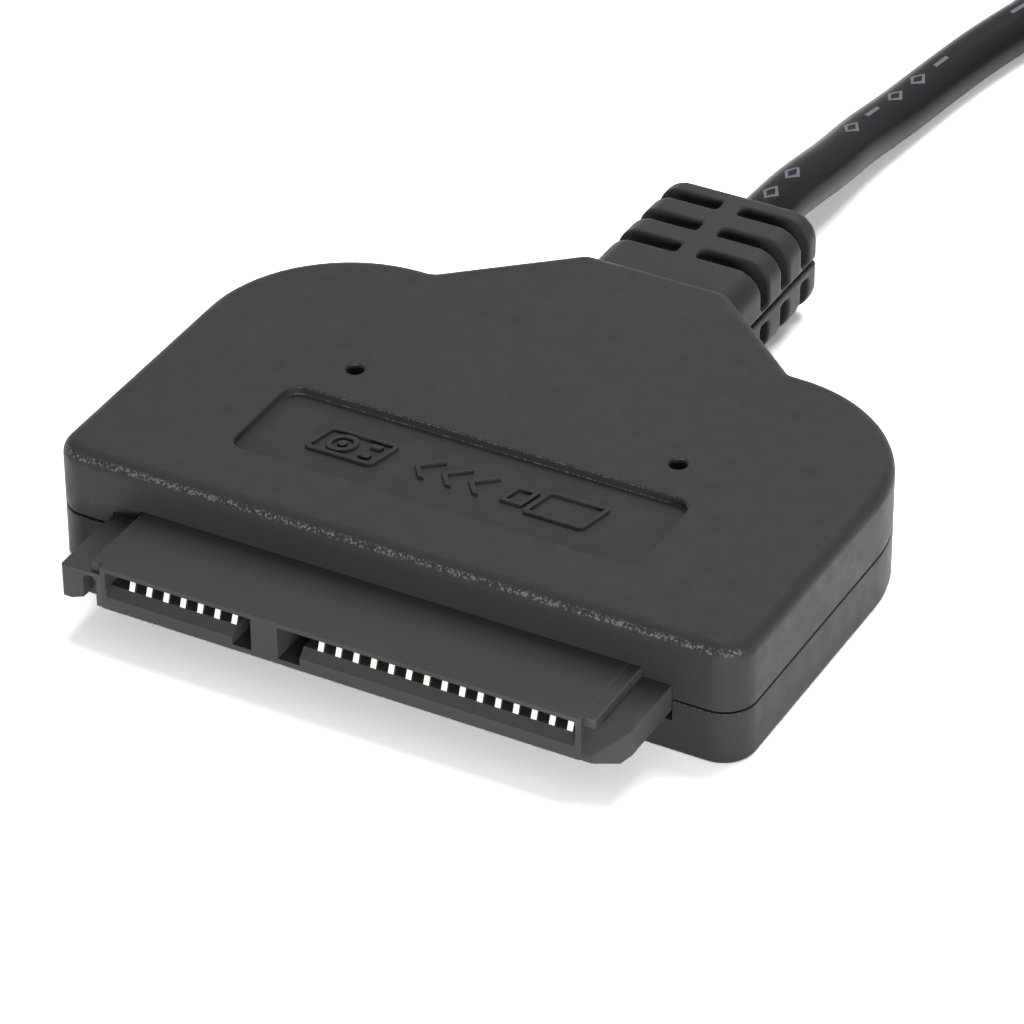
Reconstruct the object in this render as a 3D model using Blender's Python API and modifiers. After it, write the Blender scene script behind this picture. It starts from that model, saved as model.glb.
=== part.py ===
# Adapter between a USB port and the combined data and power connector of a SATA drive.
# Metres, +Z up. The connector opens toward -Y and the cable leaves toward +Y.
# The origin is under the middle of the head, on the surface that it lies on.

import math

import bmesh
import bpy
from mathutils import Matrix, Vector

# Fits between pieces
FIT_GAP = 0.0003
SEAM_GAP = 0.00014
THROUGH = 0.001

# Steps of outlines and routes
EDGE_SHARE = 0.98
ROUTE_STEPS = 16

# Body shells
BODY_WIDTH = 0.0504
BODY_LENGTH = 0.0378
BODY_HEIGHT = 0.0089
SEAM_HEIGHT = 0.0040
CORNER_RADIUS = 0.0023
SHOULDER_LENGTH = 0.0307
SHOULDER_RADIUS = 0.0108
NECK_START_HALF = 0.0136
NECK_END_HALF = 0.0054
NECK_INNER_RADIUS = 0.0010
NECK_OUTER_RADIUS = 0.0016
TOP_ROUND = 0.0011
BOTTOM_ROUND = 0.0003
WALL = 0.0016
ROOF = 0.0015
FLOOR = 0.0012
LIP_HEIGHT = 0.0011
LIP_INSET = 0.0009

# Shallow recess and indicator holes in the top
RECESS_WIDTH = 0.0299
RECESS_LENGTH = 0.0082
RECESS_FRONT = 0.0055
RECESS_DEPTH = 0.0006
RECESS_RADIUS = 0.0012
HOLE_DIAMETER = 0.0013
HOLE_HALF_SPACING = 0.01205
HOLE_FRONT = 0.0172

# Posts that hold the circuit board
POST_DIAMETER = 0.0028
POST_HALF_SPACING = 0.0190
POST_FRONT_ROW = 0.0072
POST_BACK_ROW = 0.0230

# Drive connector
CONNECTOR_REACH = 0.0065
CONNECTOR_WIDTH = 0.0349
CONNECTOR_HEIGHT = 0.00325
CONNECTOR_BASE = 0.0025
CONNECTOR_DEPTH = 0.0110
CONNECTOR_SIDE_WALL = 0.0004
CONNECTOR_TOP_WALL = 0.00038
CONNECTOR_LOWER_WALL = 0.0010
SLOT_LIP = 0.0006
SLOT_DEPTH = 0.0066
SIGNAL_SLOT_WIDTH = 0.01085
POWER_SLOT_WIDTH = 0.0213
SIGNAL_KEY_WIDTH = 0.0014
POWER_KEY_WIDTH = 0.0016
KEY_FLOOR = 0.00045
RIB_REACH = 0.00085
RIB_SETBACK = 0.0004
RIB_HEIGHT = 0.00070
ARM_REACH = 0.0204
ARM_HEIGHT = 0.00255
ARM_TIP = 0.00115
ARM_TIP_WIDTH = 0.0022
ARM_CHAMFER = 0.0007
ARM_LEAD_BASE = 0.0006
ARM_LEAD_LENGTH = 0.0012
EAR_CORNER = 0.00015
EAR_WALL_SHARE = 0.56
EAR_POCKET_SHARE = 0.322
EAR_POCKET_HEIGHT = 0.00225
EAR_POCKET_DEPTH = 0.0011
EAR_POCKET_RADIUS = 0.0004
EAR_TOE = 0.0005
EAR_TOE_RISE = 0.00045
FLANGE_REACH = 0.0005
FLANGE_THICKNESS = 0.0010
FLANGE_MARGIN = 0.0008

# Contacts of the drive connector
CONTACT_PITCH = 0.00127
SIGNAL_COUNT = 7
POWER_COUNT = 15
SEGMENT_STEP = 0.00635
CONTACT_OFFSET = 0.00069
CONTACT_WIDTH = 0.00040
CONTACT_THICKNESS = 0.00022
CONTACT_TIP_FRONT = 0.00032
CONTACT_TIP_DROP = 0.00100
CONTACT_TIP_RUN = 0.00030
CONTACT_CEILING_GAP = 0.00017
CONTACT_TAIL_LENGTH = 0.0016

# Circuit board and what is on it
BOARD_THICKNESS = 0.0010
BOARD_TOP = 0.0043
BOARD_WIDTH = 0.0426
BOARD_LENGTH = 0.0236
BOARD_CORNER_RADIUS = 0.0080
BOARD_FRONT_RADIUS = 0.0005
CHIP_SIZE = 0.0070
CHIP_HEIGHT = 0.0009
CHIP_FRONT = 0.0075
CRYSTAL_SIZE = (0.0032, 0.0025, 0.0008)
CRYSTAL_PLACE = (-0.0075, 0.0108)
INDUCTOR_SIZE = (0.0040, 0.0040, 0.0018)
INDUCTOR_PLACE = (0.0128, 0.0095)
REGULATOR_SIZE = (0.0048, 0.0030, 0.0014)
REGULATOR_PLACE = (0.0135, 0.0165)
CAPACITOR_SIZE = (0.0035, 0.0028, 0.0016)
CAPACITOR_PLACES = ((-0.0085, 0.0055), (0.0078, 0.0050), (-0.0125, 0.0165))
LED_SIZE = (0.0020, 0.0012, 0.0010)
COMPONENT_EDGE = 0.0001

# Moulded strain relief at the back of the head
BOOT_REACH = 0.0131
BOOT_WIDTH = 0.0119
BOOT_HEIGHT = 0.0074
BOOT_BASE = 0.0005
BOOT_RADIUS = 0.0019
BOOT_END_ROUND = 0.0005
BOOT_BODY_GAP = 0.00015
BOOT_SLOT_COUNT = 3
BOOT_FIRST_SLOT = 0.0041
BOOT_SLOT_PITCH = 0.00317
BOOT_SLOT_WIDTH = 0.00125
BOOT_SPINE_WIDTH = 0.0015
BOOT_SIDE_WEB = 0.0013
BOOT_CORE_WIDTH = 0.0084
BOOT_CORE_HEIGHT = 0.0054
BOOT_NECK_WIDTH = 0.0072
BOOT_NECK_WALL = 0.0004
BOOT_NECK_RADIUS = 0.0010
BOOT_FLANGE_WIDTH = 0.0088
BOOT_FLANGE_THICKNESS = 0.0020
BOOT_FLANGE_RADIUS = 0.0008
BOOT_FLANGE_RISE = 0.00005

# Cable
CABLE_DIAMETER = 0.0038
CABLE_SPLIT = 0.0070
JACKET_END = 0.0030
WIRE_DIAMETER = 0.0007
WIRE_COUNT = 6
WIRE_SPACING = 0.0012
WIRE_LENGTH = 0.0050
CABLE_ROUTE = (
    (0.00010, 0.0362, 0.00395),
    (0.00030, 0.0425, 0.00320),
    (0.00030, 0.0476, 0.00260),
    (0.00080, 0.0535, 0.00210),
    (0.00140, 0.0593, 0.00192),
    (0.00220, 0.0646, 0.00192),
    (0.00330, 0.0698, 0.00192),
    (0.00462, 0.0745, 0.00192),
)
COIL_CENTRE = (0.0315, 0.0773)
COIL_INNER_RADIUS = 0.0133
COIL_OUTER_RADIUS = 0.0247
COIL_HEIGHT = 0.0076
COIL_STEPS = 40
TIE_ANGLE = math.radians(60.0)
TIE_WIDTH = 0.0050
TIE_THICKNESS = 0.0008
LEAD_ROUTE = (
    (0.05130, 0.0594, 0.00520),
    (0.05040, 0.0570, 0.00480),
    (0.04960, 0.0545, 0.00430),
    (0.04920, 0.0520, 0.00400),
)

# Plug at the far end of the cable
PLUG_X = 0.0490
PLUG_BACK = 0.0517
RELIEF_LENGTH = 0.0070
RELIEF_START_DIAMETER = 0.0050
RELIEF_END_DIAMETER = 0.0066
GRIP_WIDTH = 0.0155
GRIP_HEIGHT = 0.0080
GRIP_LENGTH = 0.0290
GRIP_ROUND = 0.0014
SHELL_WIDTH = 0.0120
SHELL_HEIGHT = 0.0045
SHELL_THICKNESS = 0.0003
SHELL_REACH = 0.0120
SHELL_SOCKET_DEPTH = 0.0020
SHELL_RADIUS = 0.0005
TONGUE_HEIGHT = 0.0019
TONGUE_BLOCK_LENGTH = 0.0030
USB_PAD_WIDTH = 0.0010
USB_PAD_LENGTH = 0.0070
USB_PAD_THICKNESS = 0.0002
USB_PAD_PLACES = (-0.0035, -0.0010, 0.0010, 0.0035)
USB_SPRING_WIDTH = 0.0006
USB_SPRING_LENGTH = 0.0018
USB_SPRING_PLACES = (-0.0040, -0.0020, 0.0, 0.0020, 0.0040)
USB_CONTACT_GAP = 0.0001

# Places that follow from the sizes
HEAD_LENGTH = CONNECTOR_REACH + BODY_LENGTH + BOOT_REACH
CONNECTOR_FACE = -HEAD_LENGTH / 2
BODY_FRONT = CONNECTOR_FACE + CONNECTOR_REACH
BODY_BACK = BODY_FRONT + BODY_LENGTH
BOOT_BACK = BODY_BACK + BOOT_REACH
CONNECTOR_TOP = CONNECTOR_BASE + CONNECTOR_HEIGHT
SLOT_TOP = CONNECTOR_TOP - CONNECTOR_TOP_WALL
SLOT_BOTTOM = CONNECTOR_BASE + CONNECTOR_LOWER_WALL + SLOT_LIP
ARM_TOP = CONNECTOR_BASE + ARM_HEIGHT
FLANGE_FRONT = BODY_FRONT + WALL + FIT_GAP
FLANGE_BACK = FLANGE_FRONT + FLANGE_THICKNESS
CONNECTOR_BACK = CONNECTOR_FACE + CONNECTOR_DEPTH
BOARD_FRONT = CONNECTOR_BACK + FIT_GAP
BOARD_BACK = BOARD_FRONT + BOARD_LENGTH
BOARD_BOTTOM = BOARD_TOP - BOARD_THICKNESS
BOOT_TOP = BOOT_BASE + BOOT_HEIGHT
BOOT_MIDDLE = BOOT_BASE + BOOT_HEIGHT / 2
BORE_RADIUS = CABLE_DIAMETER / 2 + FIT_GAP
PLUG_AXIS = GRIP_HEIGHT / 2
GRIP_BACK = PLUG_BACK - RELIEF_LENGTH
GRIP_FRONT = GRIP_BACK - GRIP_LENGTH


def clear_scene():
    for old in list(bpy.data.objects):
        bpy.data.objects.remove(old, do_unlink=True)


def new_collection(name):
    group = bpy.data.collections.new(name)
    bpy.context.scene.collection.children.link(group)
    return group


def make_material(name, colour, roughness, metallic=0.0):
    material = bpy.data.materials.new(name)
    material.use_nodes = True
    shader = material.node_tree.nodes["Principled BSDF"]
    shader.inputs["Base Color"].default_value = (*colour, 1.0)
    shader.inputs["Roughness"].default_value = roughness
    shader.inputs["Metallic"].default_value = metallic
    return material


def add_object(name, mesh, material=None, cutter=False):
    """Links a mesh as a named object of the model, or as a cutter."""
    item = bpy.data.objects.new(name, mesh)
    if cutter:
        CUTTERS.objects.link(item)
        item.hide_render = True
        item.display_type = "WIRE"
    else:
        MODEL.objects.link(item)
        mesh.materials.append(material)
    return item


def rounded_outline(corners, inset=0.0, step=math.radians(15)):
    """A counterclockwise outline moved inward by inset, from (x, y, radius) corners, with round corners."""
    points = [Vector((x, y)) for x, y, _ in corners]
    count = len(points)
    lines = []
    for start, end in zip(points, points[1:] + points[:1]):
        along = (end - start).normalized()
        inward = Vector((-along.y, along.x))
        lines.append((start + inward * inset, along))
    moved = []
    turns = []
    for i in range(count):
        (a, along_a), (b, along_b) = lines[i - 1], lines[i]
        across = along_a.cross(along_b)
        reach = (b - a).cross(along_b) / across
        moved.append(a + along_a * reach)
        turns.append(math.atan2(across, along_a.dot(along_b)))
    setbacks = []
    shares = [1.0] * count
    for i in range(count):
        radius = corners[i][2] - math.copysign(inset, turns[i])
        setbacks.append(max(radius, 0.0) * math.tan(abs(turns[i]) / 2))
    for i in range(count):
        j = (i + 1) % count
        wanted = setbacks[i] + setbacks[j]
        room = (moved[j] - moved[i]).length * EDGE_SHARE
        if wanted > room:
            shares[i] = min(shares[i], room / wanted)
            shares[j] = min(shares[j], room / wanted)
    outline = []
    for i in range(count):
        turn = turns[i]
        setback = setbacks[i] * shares[i]
        if setback < 1e-6:
            outline.append(tuple(moved[i]))
            continue
        radius = setback / math.tan(abs(turn) / 2)
        begin = moved[i] - lines[i - 1][1] * setback
        side = Vector((-lines[i - 1][1].y, lines[i - 1][1].x)) * math.copysign(1.0, turn)
        centre = begin + side * radius
        pieces = max(2, math.ceil(abs(turn) / step))
        for k in range(pieces + 1):
            swing = Matrix.Rotation(turn * k / pieces, 2)
            outline.append(tuple(centre + swing @ (begin - centre)))
    return outline


def rectangle(x0, x1, y0, y1, radius=0.0, inset=0.0):
    corners = ((x0, y0, radius), (x1, y0, radius), (x1, y1, radius), (x0, y1, radius))
    return rounded_outline(corners, inset)


def plate_mesh(name, outlines, low, high, axis="Z"):
    """Closed outlines filled and extruded from low to high along an axis. Outlines lie in XY, XZ or YZ."""
    curve = bpy.data.curves.new(name, "CURVE")
    curve.dimensions = "2D"
    curve.fill_mode = "BOTH"
    curve.extrude = (high - low) / 2
    for outline in outlines:
        spline = curve.splines.new("POLY")
        spline.points.add(len(outline) - 1)
        for point, (u, v) in zip(spline.points, outline):
            point.co = (u, v, 0.0, 1.0)
        spline.use_cyclic_u = True
    guide = bpy.data.objects.new(name, curve)
    bpy.context.scene.collection.objects.link(guide)
    evaluated = guide.evaluated_get(bpy.context.evaluated_depsgraph_get())
    mesh = bpy.data.meshes.new_from_object(evaluated)
    bpy.data.objects.remove(guide, do_unlink=True)
    turn = {
        "Z": Matrix.Identity(4),
        "Y": Matrix(((1, 0, 0, 0), (0, 0, -1, 0), (0, 1, 0, 0), (0, 0, 0, 1))),
        "X": Matrix(((0, 0, 1, 0), (1, 0, 0, 0), (0, 1, 0, 0), (0, 0, 0, 1))),
    }[axis]
    middle = (low + high) / 2 * (-1 if axis == "Y" else 1)
    mesh.transform(turn @ Matrix.Translation((0, 0, middle)))
    shape = bmesh.new()
    shape.from_mesh(mesh)
    bmesh.ops.remove_doubles(shape, verts=shape.verts, dist=1e-7)
    bmesh.ops.recalc_face_normals(shape, faces=shape.faces)
    shape.to_mesh(mesh)
    shape.free()
    mesh.name = name
    return mesh


def box_mesh(name, low, high):
    shape = bmesh.new()
    bmesh.ops.create_cube(shape, size=1.0)
    size = Vector(high) - Vector(low)
    bmesh.ops.scale(shape, vec=size, verts=shape.verts)
    bmesh.ops.translate(shape, vec=(Vector(high) + Vector(low)) / 2, verts=shape.verts)
    mesh = bpy.data.meshes.new(name)
    shape.to_mesh(mesh)
    shape.free()
    return mesh


def cylinder_mesh(name, place, bottom, top, start_diameter, end_diameter=None, sides=20):
    """An upright cylinder or cone at place, wider or narrower at the top where end_diameter says so."""
    shape = bmesh.new()
    end_diameter = start_diameter if end_diameter is None else end_diameter
    bmesh.ops.create_cone(
        shape,
        cap_ends=True,
        segments=sides,
        radius1=start_diameter / 2,
        radius2=end_diameter / 2,
        depth=top - bottom,
        matrix=Matrix.Translation((place[0], place[1], (bottom + top) / 2)),
    )
    mesh = bpy.data.meshes.new(name)
    shape.to_mesh(mesh)
    shape.free()
    return mesh


def joined_mesh(name, meshes):
    """Several separate closed meshes as one, for a cutter with many blades."""
    shape = bmesh.new()
    for mesh in meshes:
        shape.from_mesh(mesh)
    joined = bpy.data.meshes.new(name)
    shape.to_mesh(joined)
    shape.free()
    return joined


def combine(item, tool, operation):
    """Adds a Boolean modifier whose second shape is an object in the cutters collection."""
    boolean = item.modifiers.new(operation.title(), "BOOLEAN")
    boolean.operation = operation
    boolean.solver = "EXACT"
    boolean.object = tool


def cut(item, mesh):
    combine(item, add_object(mesh.name, mesh, cutter=True), "DIFFERENCE")


def add(item, mesh):
    combine(item, add_object(mesh.name, mesh, cutter=True), "UNION")


def round_rim(item, axis, level, radius, segments):
    """Rounds the edges that lie wholly at one level along an axis."""
    mesh = item.data
    weights = mesh.attributes.new("bevel_weight_edge", "FLOAT", "EDGE")
    for edge in mesh.edges:
        ends = [mesh.vertices[i].co[axis] for i in edge.vertices]
        weights.data[edge.index].value = 1.0 if max(abs(end - level) for end in ends) < 1e-6 else 0.0
    bevel = item.modifiers.new("Rounded rim", "BEVEL")
    bevel.limit_method = "WEIGHT"
    bevel.width = radius
    bevel.segments = segments


def smooth_line(points, spacing):
    """Points at even steps along a Catmull-Rom curve through the route's points."""
    route = [Vector(p) for p in points]
    route = [route[0] * 2 - route[1]] + route + [route[-1] * 2 - route[-2]]
    dense = []
    for a, b, c, d in zip(route, route[1:], route[2:], route[3:]):
        for k in range(ROUTE_STEPS):
            t = k / ROUTE_STEPS
            dense.append(
                0.5 * (2 * b + (c - a) * t + (2 * a - 5 * b + 4 * c - d) * t**2 + (3 * b - a - 3 * c + d) * t**3)
            )
    dense.append(route[-2])
    lengths = [0.0]
    for before, after in zip(dense, dense[1:]):
        lengths.append(lengths[-1] + (after - before).length)
    count = max(2, round(lengths[-1] / spacing))
    line = []
    k = 0
    for i in range(count + 1):
        target = lengths[-1] * i / count
        while k < len(lengths) - 2 and lengths[k + 1] < target:
            k += 1
        share = (target - lengths[k]) / (lengths[k + 1] - lengths[k])
        line.append(dense[k].lerp(dense[k + 1], share))
    return line


def add_tube(name, line, diameter, material, resolution=2):
    curve = bpy.data.curves.new(name, "CURVE")
    curve.dimensions = "3D"
    curve.bevel_depth = diameter / 2
    curve.bevel_resolution = resolution
    curve.use_fill_caps = True
    spline = curve.splines.new("POLY")
    spline.points.add(len(line) - 1)
    for point, place in zip(spline.points, line):
        point.co = (*place, 1.0)
    curve.materials.append(material)
    tube = bpy.data.objects.new(name, curve)
    MODEL.objects.link(tube)
    return tube


def body_outline(inset=0.0):
    """Plan of the body: square front, round shoulders and a neck that narrows to the strain relief."""
    half = BODY_WIDTH / 2
    shoulder = BODY_FRONT + SHOULDER_LENGTH
    right = (
        (half, BODY_FRONT, CORNER_RADIUS),
        (half, shoulder, SHOULDER_RADIUS),
        (NECK_START_HALF, shoulder, NECK_INNER_RADIUS),
        (NECK_END_HALF, BODY_BACK, NECK_OUTER_RADIUS),
    )
    left = tuple((-x, y, radius) for x, y, radius in reversed(right))
    return rounded_outline(right + left, inset, math.radians(13))


def post_places():
    rows = (BODY_FRONT + POST_FRONT_ROW, BODY_FRONT + POST_BACK_ROW)
    return [(side * POST_HALF_SPACING, row) for row in rows for side in (-1, 1)]


def cut_connector_openings(shell, label):
    """Openings in the front wall for the connector block and for its side arms."""
    block = CONNECTOR_WIDTH / 2 + RIB_REACH + FIT_GAP
    arms = ARM_REACH + FIT_GAP
    front = BODY_FRONT - THROUGH
    back = BODY_FRONT + WALL + THROUGH
    low = CONNECTOR_BASE - FIT_GAP
    meshes = {
        "block": ((-block, front, low), (block, back, CONNECTOR_TOP + FIT_GAP)),
        "arms": ((-arms, front, low), (arms, back, ARM_TOP + FIT_GAP)),
    }
    for part, (start, end) in meshes.items():
        cut(shell, box_mesh(f"{label}_{part}_opening", start, end))


def cut_boot_opening(shell, label):
    half = BOOT_NECK_WIDTH / 2 + FIT_GAP
    tall = BORE_RADIUS + BOOT_NECK_WALL + FIT_GAP
    radius = BOOT_NECK_RADIUS + FIT_GAP
    opening = rectangle(-half, half, BOOT_MIDDLE - tall, BOOT_MIDDLE + tall, radius)
    cut(shell, plate_mesh(f"{label}_neck_opening", [opening], BODY_BACK - WALL - THROUGH, BODY_BACK + THROUGH, "Y"))


def make_top_cover(material):
    base = SEAM_HEIGHT + SEAM_GAP / 2
    shell = add_object("top_cover", plate_mesh("top_cover", [body_outline()], base, BODY_HEIGHT), material)
    round_rim(shell, 2, BODY_HEIGHT, TOP_ROUND, 4)
    cavity_top = BODY_HEIGHT - ROOF
    cut(shell, plate_mesh("top_cavity", [body_outline(WALL)], base - THROUGH, cavity_top))
    rebate_top = SEAM_HEIGHT + LIP_HEIGHT + FIT_GAP
    cut(shell, plate_mesh("top_rebate", [body_outline(LIP_INSET - FIT_GAP)], base - THROUGH, rebate_top))
    half = RECESS_WIDTH / 2
    front = BODY_FRONT + RECESS_FRONT
    recess = rectangle(-half, half, front, front + RECESS_LENGTH, RECESS_RADIUS)
    cut(shell, plate_mesh("top_recess", [recess], BODY_HEIGHT - RECESS_DEPTH, BODY_HEIGHT + THROUGH))
    for side in (-1, 1):
        place = (side * HOLE_HALF_SPACING, BODY_FRONT + HOLE_FRONT)
        low = cavity_top - THROUGH
        cut(shell, cylinder_mesh("indicator_hole", place, low, BODY_HEIGHT + THROUGH, HOLE_DIAMETER))
    cut_connector_openings(shell, "top")
    cut_boot_opening(shell, "top")
    for place in post_places():
        add(shell, cylinder_mesh("top_post", place, BOARD_TOP + FIT_GAP, cavity_top + FIT_GAP, POST_DIAMETER))


def make_bottom_cover(material):
    seam = SEAM_HEIGHT - SEAM_GAP / 2
    lip_top = SEAM_HEIGHT + LIP_HEIGHT
    shell = add_object("bottom_cover", plate_mesh("bottom_cover", [body_outline()], 0.0, lip_top), material)
    round_rim(shell, 2, 0.0, BOTTOM_ROUND, 3)
    shoulder = [body_outline(-THROUGH), body_outline(LIP_INSET)]
    cut(shell, plate_mesh("lip_shoulder", shoulder, seam, lip_top + THROUGH))
    cut(shell, plate_mesh("bottom_cavity", [body_outline(WALL)], FLOOR, lip_top + THROUGH))
    cut_connector_openings(shell, "bottom")
    cut_boot_opening(shell, "bottom")
    for place in post_places():
        low = FLOOR - FIT_GAP
        add(shell, cylinder_mesh("bottom_post", place, low, BOARD_BOTTOM - FIT_GAP, POST_DIAMETER))


def slot_outline(left, right, key_left, key_right):
    """Section of a slot: a wide opening with a key foot that reaches down between key_left and key_right."""
    foot = CONNECTOR_BASE + KEY_FLOOR
    if key_left > left:
        return [
            (left, SLOT_BOTTOM), (key_left, SLOT_BOTTOM), (key_left, foot),
            (right, foot), (right, SLOT_TOP), (left, SLOT_TOP),
        ]
    return [
        (left, foot), (key_right, foot), (key_right, SLOT_BOTTOM),
        (right, SLOT_BOTTOM), (right, SLOT_TOP), (left, SLOT_TOP),
    ]


def cut_slot(housing, label, left, right, key_left, key_right):
    face = CONNECTOR_FACE - THROUGH
    outline = slot_outline(left, right, key_left, key_right)
    cut(housing, plate_mesh(f"{label}_slot", [outline], face, CONNECTOR_FACE + SLOT_DEPTH, "Y"))
    slope = [
        (face, SLOT_BOTTOM - SLOT_LIP - THROUGH),
        (CONNECTOR_FACE + SLOT_LIP, SLOT_BOTTOM),
        (CONNECTOR_FACE + SLOT_LIP, SLOT_BOTTOM + FIT_GAP),
        (face, SLOT_BOTTOM + FIT_GAP),
    ]
    cut(housing, plate_mesh(f"{label}_lip", [slope], left, right, "X"))


def contact_middles():
    """The x of each contact, in the signal group and in the power group."""
    span = (SIGNAL_COUNT - 1 + POWER_COUNT - 1) * CONTACT_PITCH + SEGMENT_STEP
    first = CONTACT_OFFSET - span / 2
    signal = [first + i * CONTACT_PITCH for i in range(SIGNAL_COUNT)]
    power = [signal[-1] + SEGMENT_STEP + i * CONTACT_PITCH for i in range(POWER_COUNT)]
    return signal, power


def add_arm(housing, root, back):
    """The arm at the right: a tip cut off at a slant, a sloping lead at its front and a chamfer below."""
    arm_plan = [
        (root, back), (root, CONNECTOR_FACE), (ARM_REACH - ARM_TIP_WIDTH, CONNECTOR_FACE),
        (ARM_REACH, CONNECTOR_FACE + ARM_TIP), (ARM_REACH, back),
    ]
    arm = add_object("right_arm", plate_mesh("right_arm", [arm_plan], CONNECTOR_BASE, ARM_TOP), cutter=True)
    rise = (ARM_HEIGHT - ARM_LEAD_BASE) / ARM_LEAD_LENGTH
    before = CONNECTOR_FACE - FIT_GAP
    after = CONNECTOR_FACE + ARM_LEAD_LENGTH + FIT_GAP
    lead = [
        (before, CONNECTOR_BASE + ARM_LEAD_BASE - FIT_GAP * rise),
        (after, ARM_TOP + FIT_GAP * rise),
        (before, ARM_TOP + FIT_GAP * rise),
    ]
    cut(arm, plate_mesh("arm_lead", [lead], root - THROUGH, ARM_REACH + THROUGH, "X"))
    chamfer = [
        (ARM_REACH - ARM_CHAMFER - FIT_GAP, CONNECTOR_BASE - FIT_GAP),
        (ARM_REACH + FIT_GAP, CONNECTOR_BASE - FIT_GAP),
        (ARM_REACH + FIT_GAP, CONNECTOR_BASE + ARM_CHAMFER + FIT_GAP),
    ]
    cut(arm, plate_mesh("arm_chamfer", [chamfer], CONNECTOR_FACE - THROUGH, FLANGE_FRONT - FIT_GAP, "Y"))
    combine(housing, arm, "UNION")


def add_ear(housing, root, back):
    """The guide ear at the left, with a pocket between it and the block that is open in front and below."""
    ear = [
        (-root, CONNECTOR_FACE), (-root, back), (-ARM_REACH, back),
        (-ARM_REACH, CONNECTOR_FACE + EAR_CORNER), (-ARM_REACH + EAR_CORNER, CONNECTOR_FACE),
    ]
    add(housing, plate_mesh("left_ear", [ear], CONNECTOR_BASE, ARM_TOP))
    ear_width = ARM_REACH - CONNECTOR_WIDTH / 2
    left = -ARM_REACH + ear_width * EAR_WALL_SHARE
    right = left + ear_width * EAR_POCKET_SHARE
    low = CONNECTOR_BASE - FIT_GAP
    top = CONNECTOR_BASE + EAR_POCKET_HEIGHT
    pocket = rounded_outline((
        (left, CONNECTOR_BASE + EAR_TOE_RISE, 0.0),
        (-ARM_REACH + EAR_TOE, CONNECTOR_BASE, 0.0),
        (-ARM_REACH + EAR_TOE, low, 0.0),
        (right, low, 0.0),
        (right, top, EAR_POCKET_RADIUS),
        (left, top, EAR_POCKET_RADIUS),
    ))
    pocket_end = CONNECTOR_FACE + EAR_POCKET_DEPTH
    cut(housing, plate_mesh("ear_pocket", [pocket], CONNECTOR_FACE - THROUGH, pocket_end, "Y"))


def make_sata_housing(material):
    half = CONNECTOR_WIDTH / 2
    housing = add_object(
        "sata_housing",
        box_mesh("sata_housing", (-half, CONNECTOR_FACE, CONNECTOR_BASE), (half, CONNECTOR_BACK, CONNECTOR_TOP)),
        material,
    )
    rib = half + RIB_REACH
    root = half - FIT_GAP
    back = FLANGE_BACK - FIT_GAP
    rib_start = (-rib, CONNECTOR_FACE + RIB_SETBACK, CONNECTOR_TOP - RIB_HEIGHT)
    add(housing, box_mesh("side_ribs", rib_start, (rib, back, CONNECTOR_TOP)))
    add_arm(housing, root, back)
    add_ear(housing, root, back)
    low = CONNECTOR_BASE - FLANGE_MARGIN
    flange_half = ARM_REACH + FLANGE_REACH
    flange_start = (-flange_half, FLANGE_FRONT, low)
    flange_end = (flange_half, FLANGE_BACK, CONNECTOR_TOP + FLANGE_MARGIN)
    add(housing, box_mesh("flange", flange_start, flange_end))
    inner = half - CONNECTOR_SIDE_WALL
    signal_right = -inner + SIGNAL_SLOT_WIDTH
    cut_slot(housing, "signal", -inner, signal_right, signal_right - SIGNAL_KEY_WIDTH, signal_right)
    power_left = inner - POWER_SLOT_WIDTH
    cut_slot(housing, "power", power_left, inner, power_left, power_left + POWER_KEY_WIDTH)
    passage_low = SLOT_TOP - CONTACT_CEILING_GAP - CONTACT_THICKNESS - FIT_GAP
    side = CONTACT_WIDTH / 2 + FIT_GAP
    for label, group in zip(("signal", "power"), contact_middles()):
        start = (group[0] - side, CONNECTOR_FACE + SLOT_DEPTH - FIT_GAP, passage_low)
        end = (group[-1] + side, CONNECTOR_BACK + THROUGH, SLOT_TOP)
        cut(housing, box_mesh(f"{label}_contact_passage", start, end))


def strip_outline(line, thickness):
    """Outline of a bent strip of even thickness along a middle line."""
    points = [Vector(p) for p in line]
    left = []
    right = []
    for i, point in enumerate(points):
        before = (point - points[i - 1]).normalized() if i else None
        after = (points[i + 1] - point).normalized() if i < len(points) - 1 else None
        along = (before + after).normalized() if before and after else (before or after)
        stretch = 1 / max(along.dot(before or after), 0.5)
        normal = Vector((-along.y, along.x)) * thickness / 2 * stretch
        left.append(tuple(point + normal))
        right.append(tuple(point - normal))
    return left + right[::-1]


def make_sata_contacts(material):
    """Bent strips: a tip that hangs in the slot's mouth, a beam under its roof and a tail on the board."""
    beam = SLOT_TOP - CONTACT_CEILING_GAP - CONTACT_THICKNESS / 2
    tail = BOARD_TOP + FIT_GAP + CONTACT_THICKNESS / 2
    tip = CONNECTOR_FACE + CONTACT_TIP_FRONT
    bend = CONNECTOR_BACK + FIT_GAP
    line = [
        (tip, SLOT_TOP - CONTACT_TIP_DROP),
        (tip + CONTACT_TIP_RUN * 0.7, beam - CONTACT_TIP_RUN * 0.6),
        (tip + CONTACT_TIP_RUN * 1.6, beam),
        (bend, beam),
        (bend + CONTACT_TIP_RUN, tail),
        (bend + CONTACT_TAIL_LENGTH, tail),
    ]
    strip = plate_mesh(
        "sata_contact", [strip_outline(line, CONTACT_THICKNESS)], -CONTACT_WIDTH / 2, CONTACT_WIDTH / 2, "X"
    )
    for label, group in zip(("signal", "power"), contact_middles()):
        for number, middle in enumerate(group, 1):
            contact = add_object(f"{label}_contact_{number}", strip, material)
            contact.location.x = middle


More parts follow.
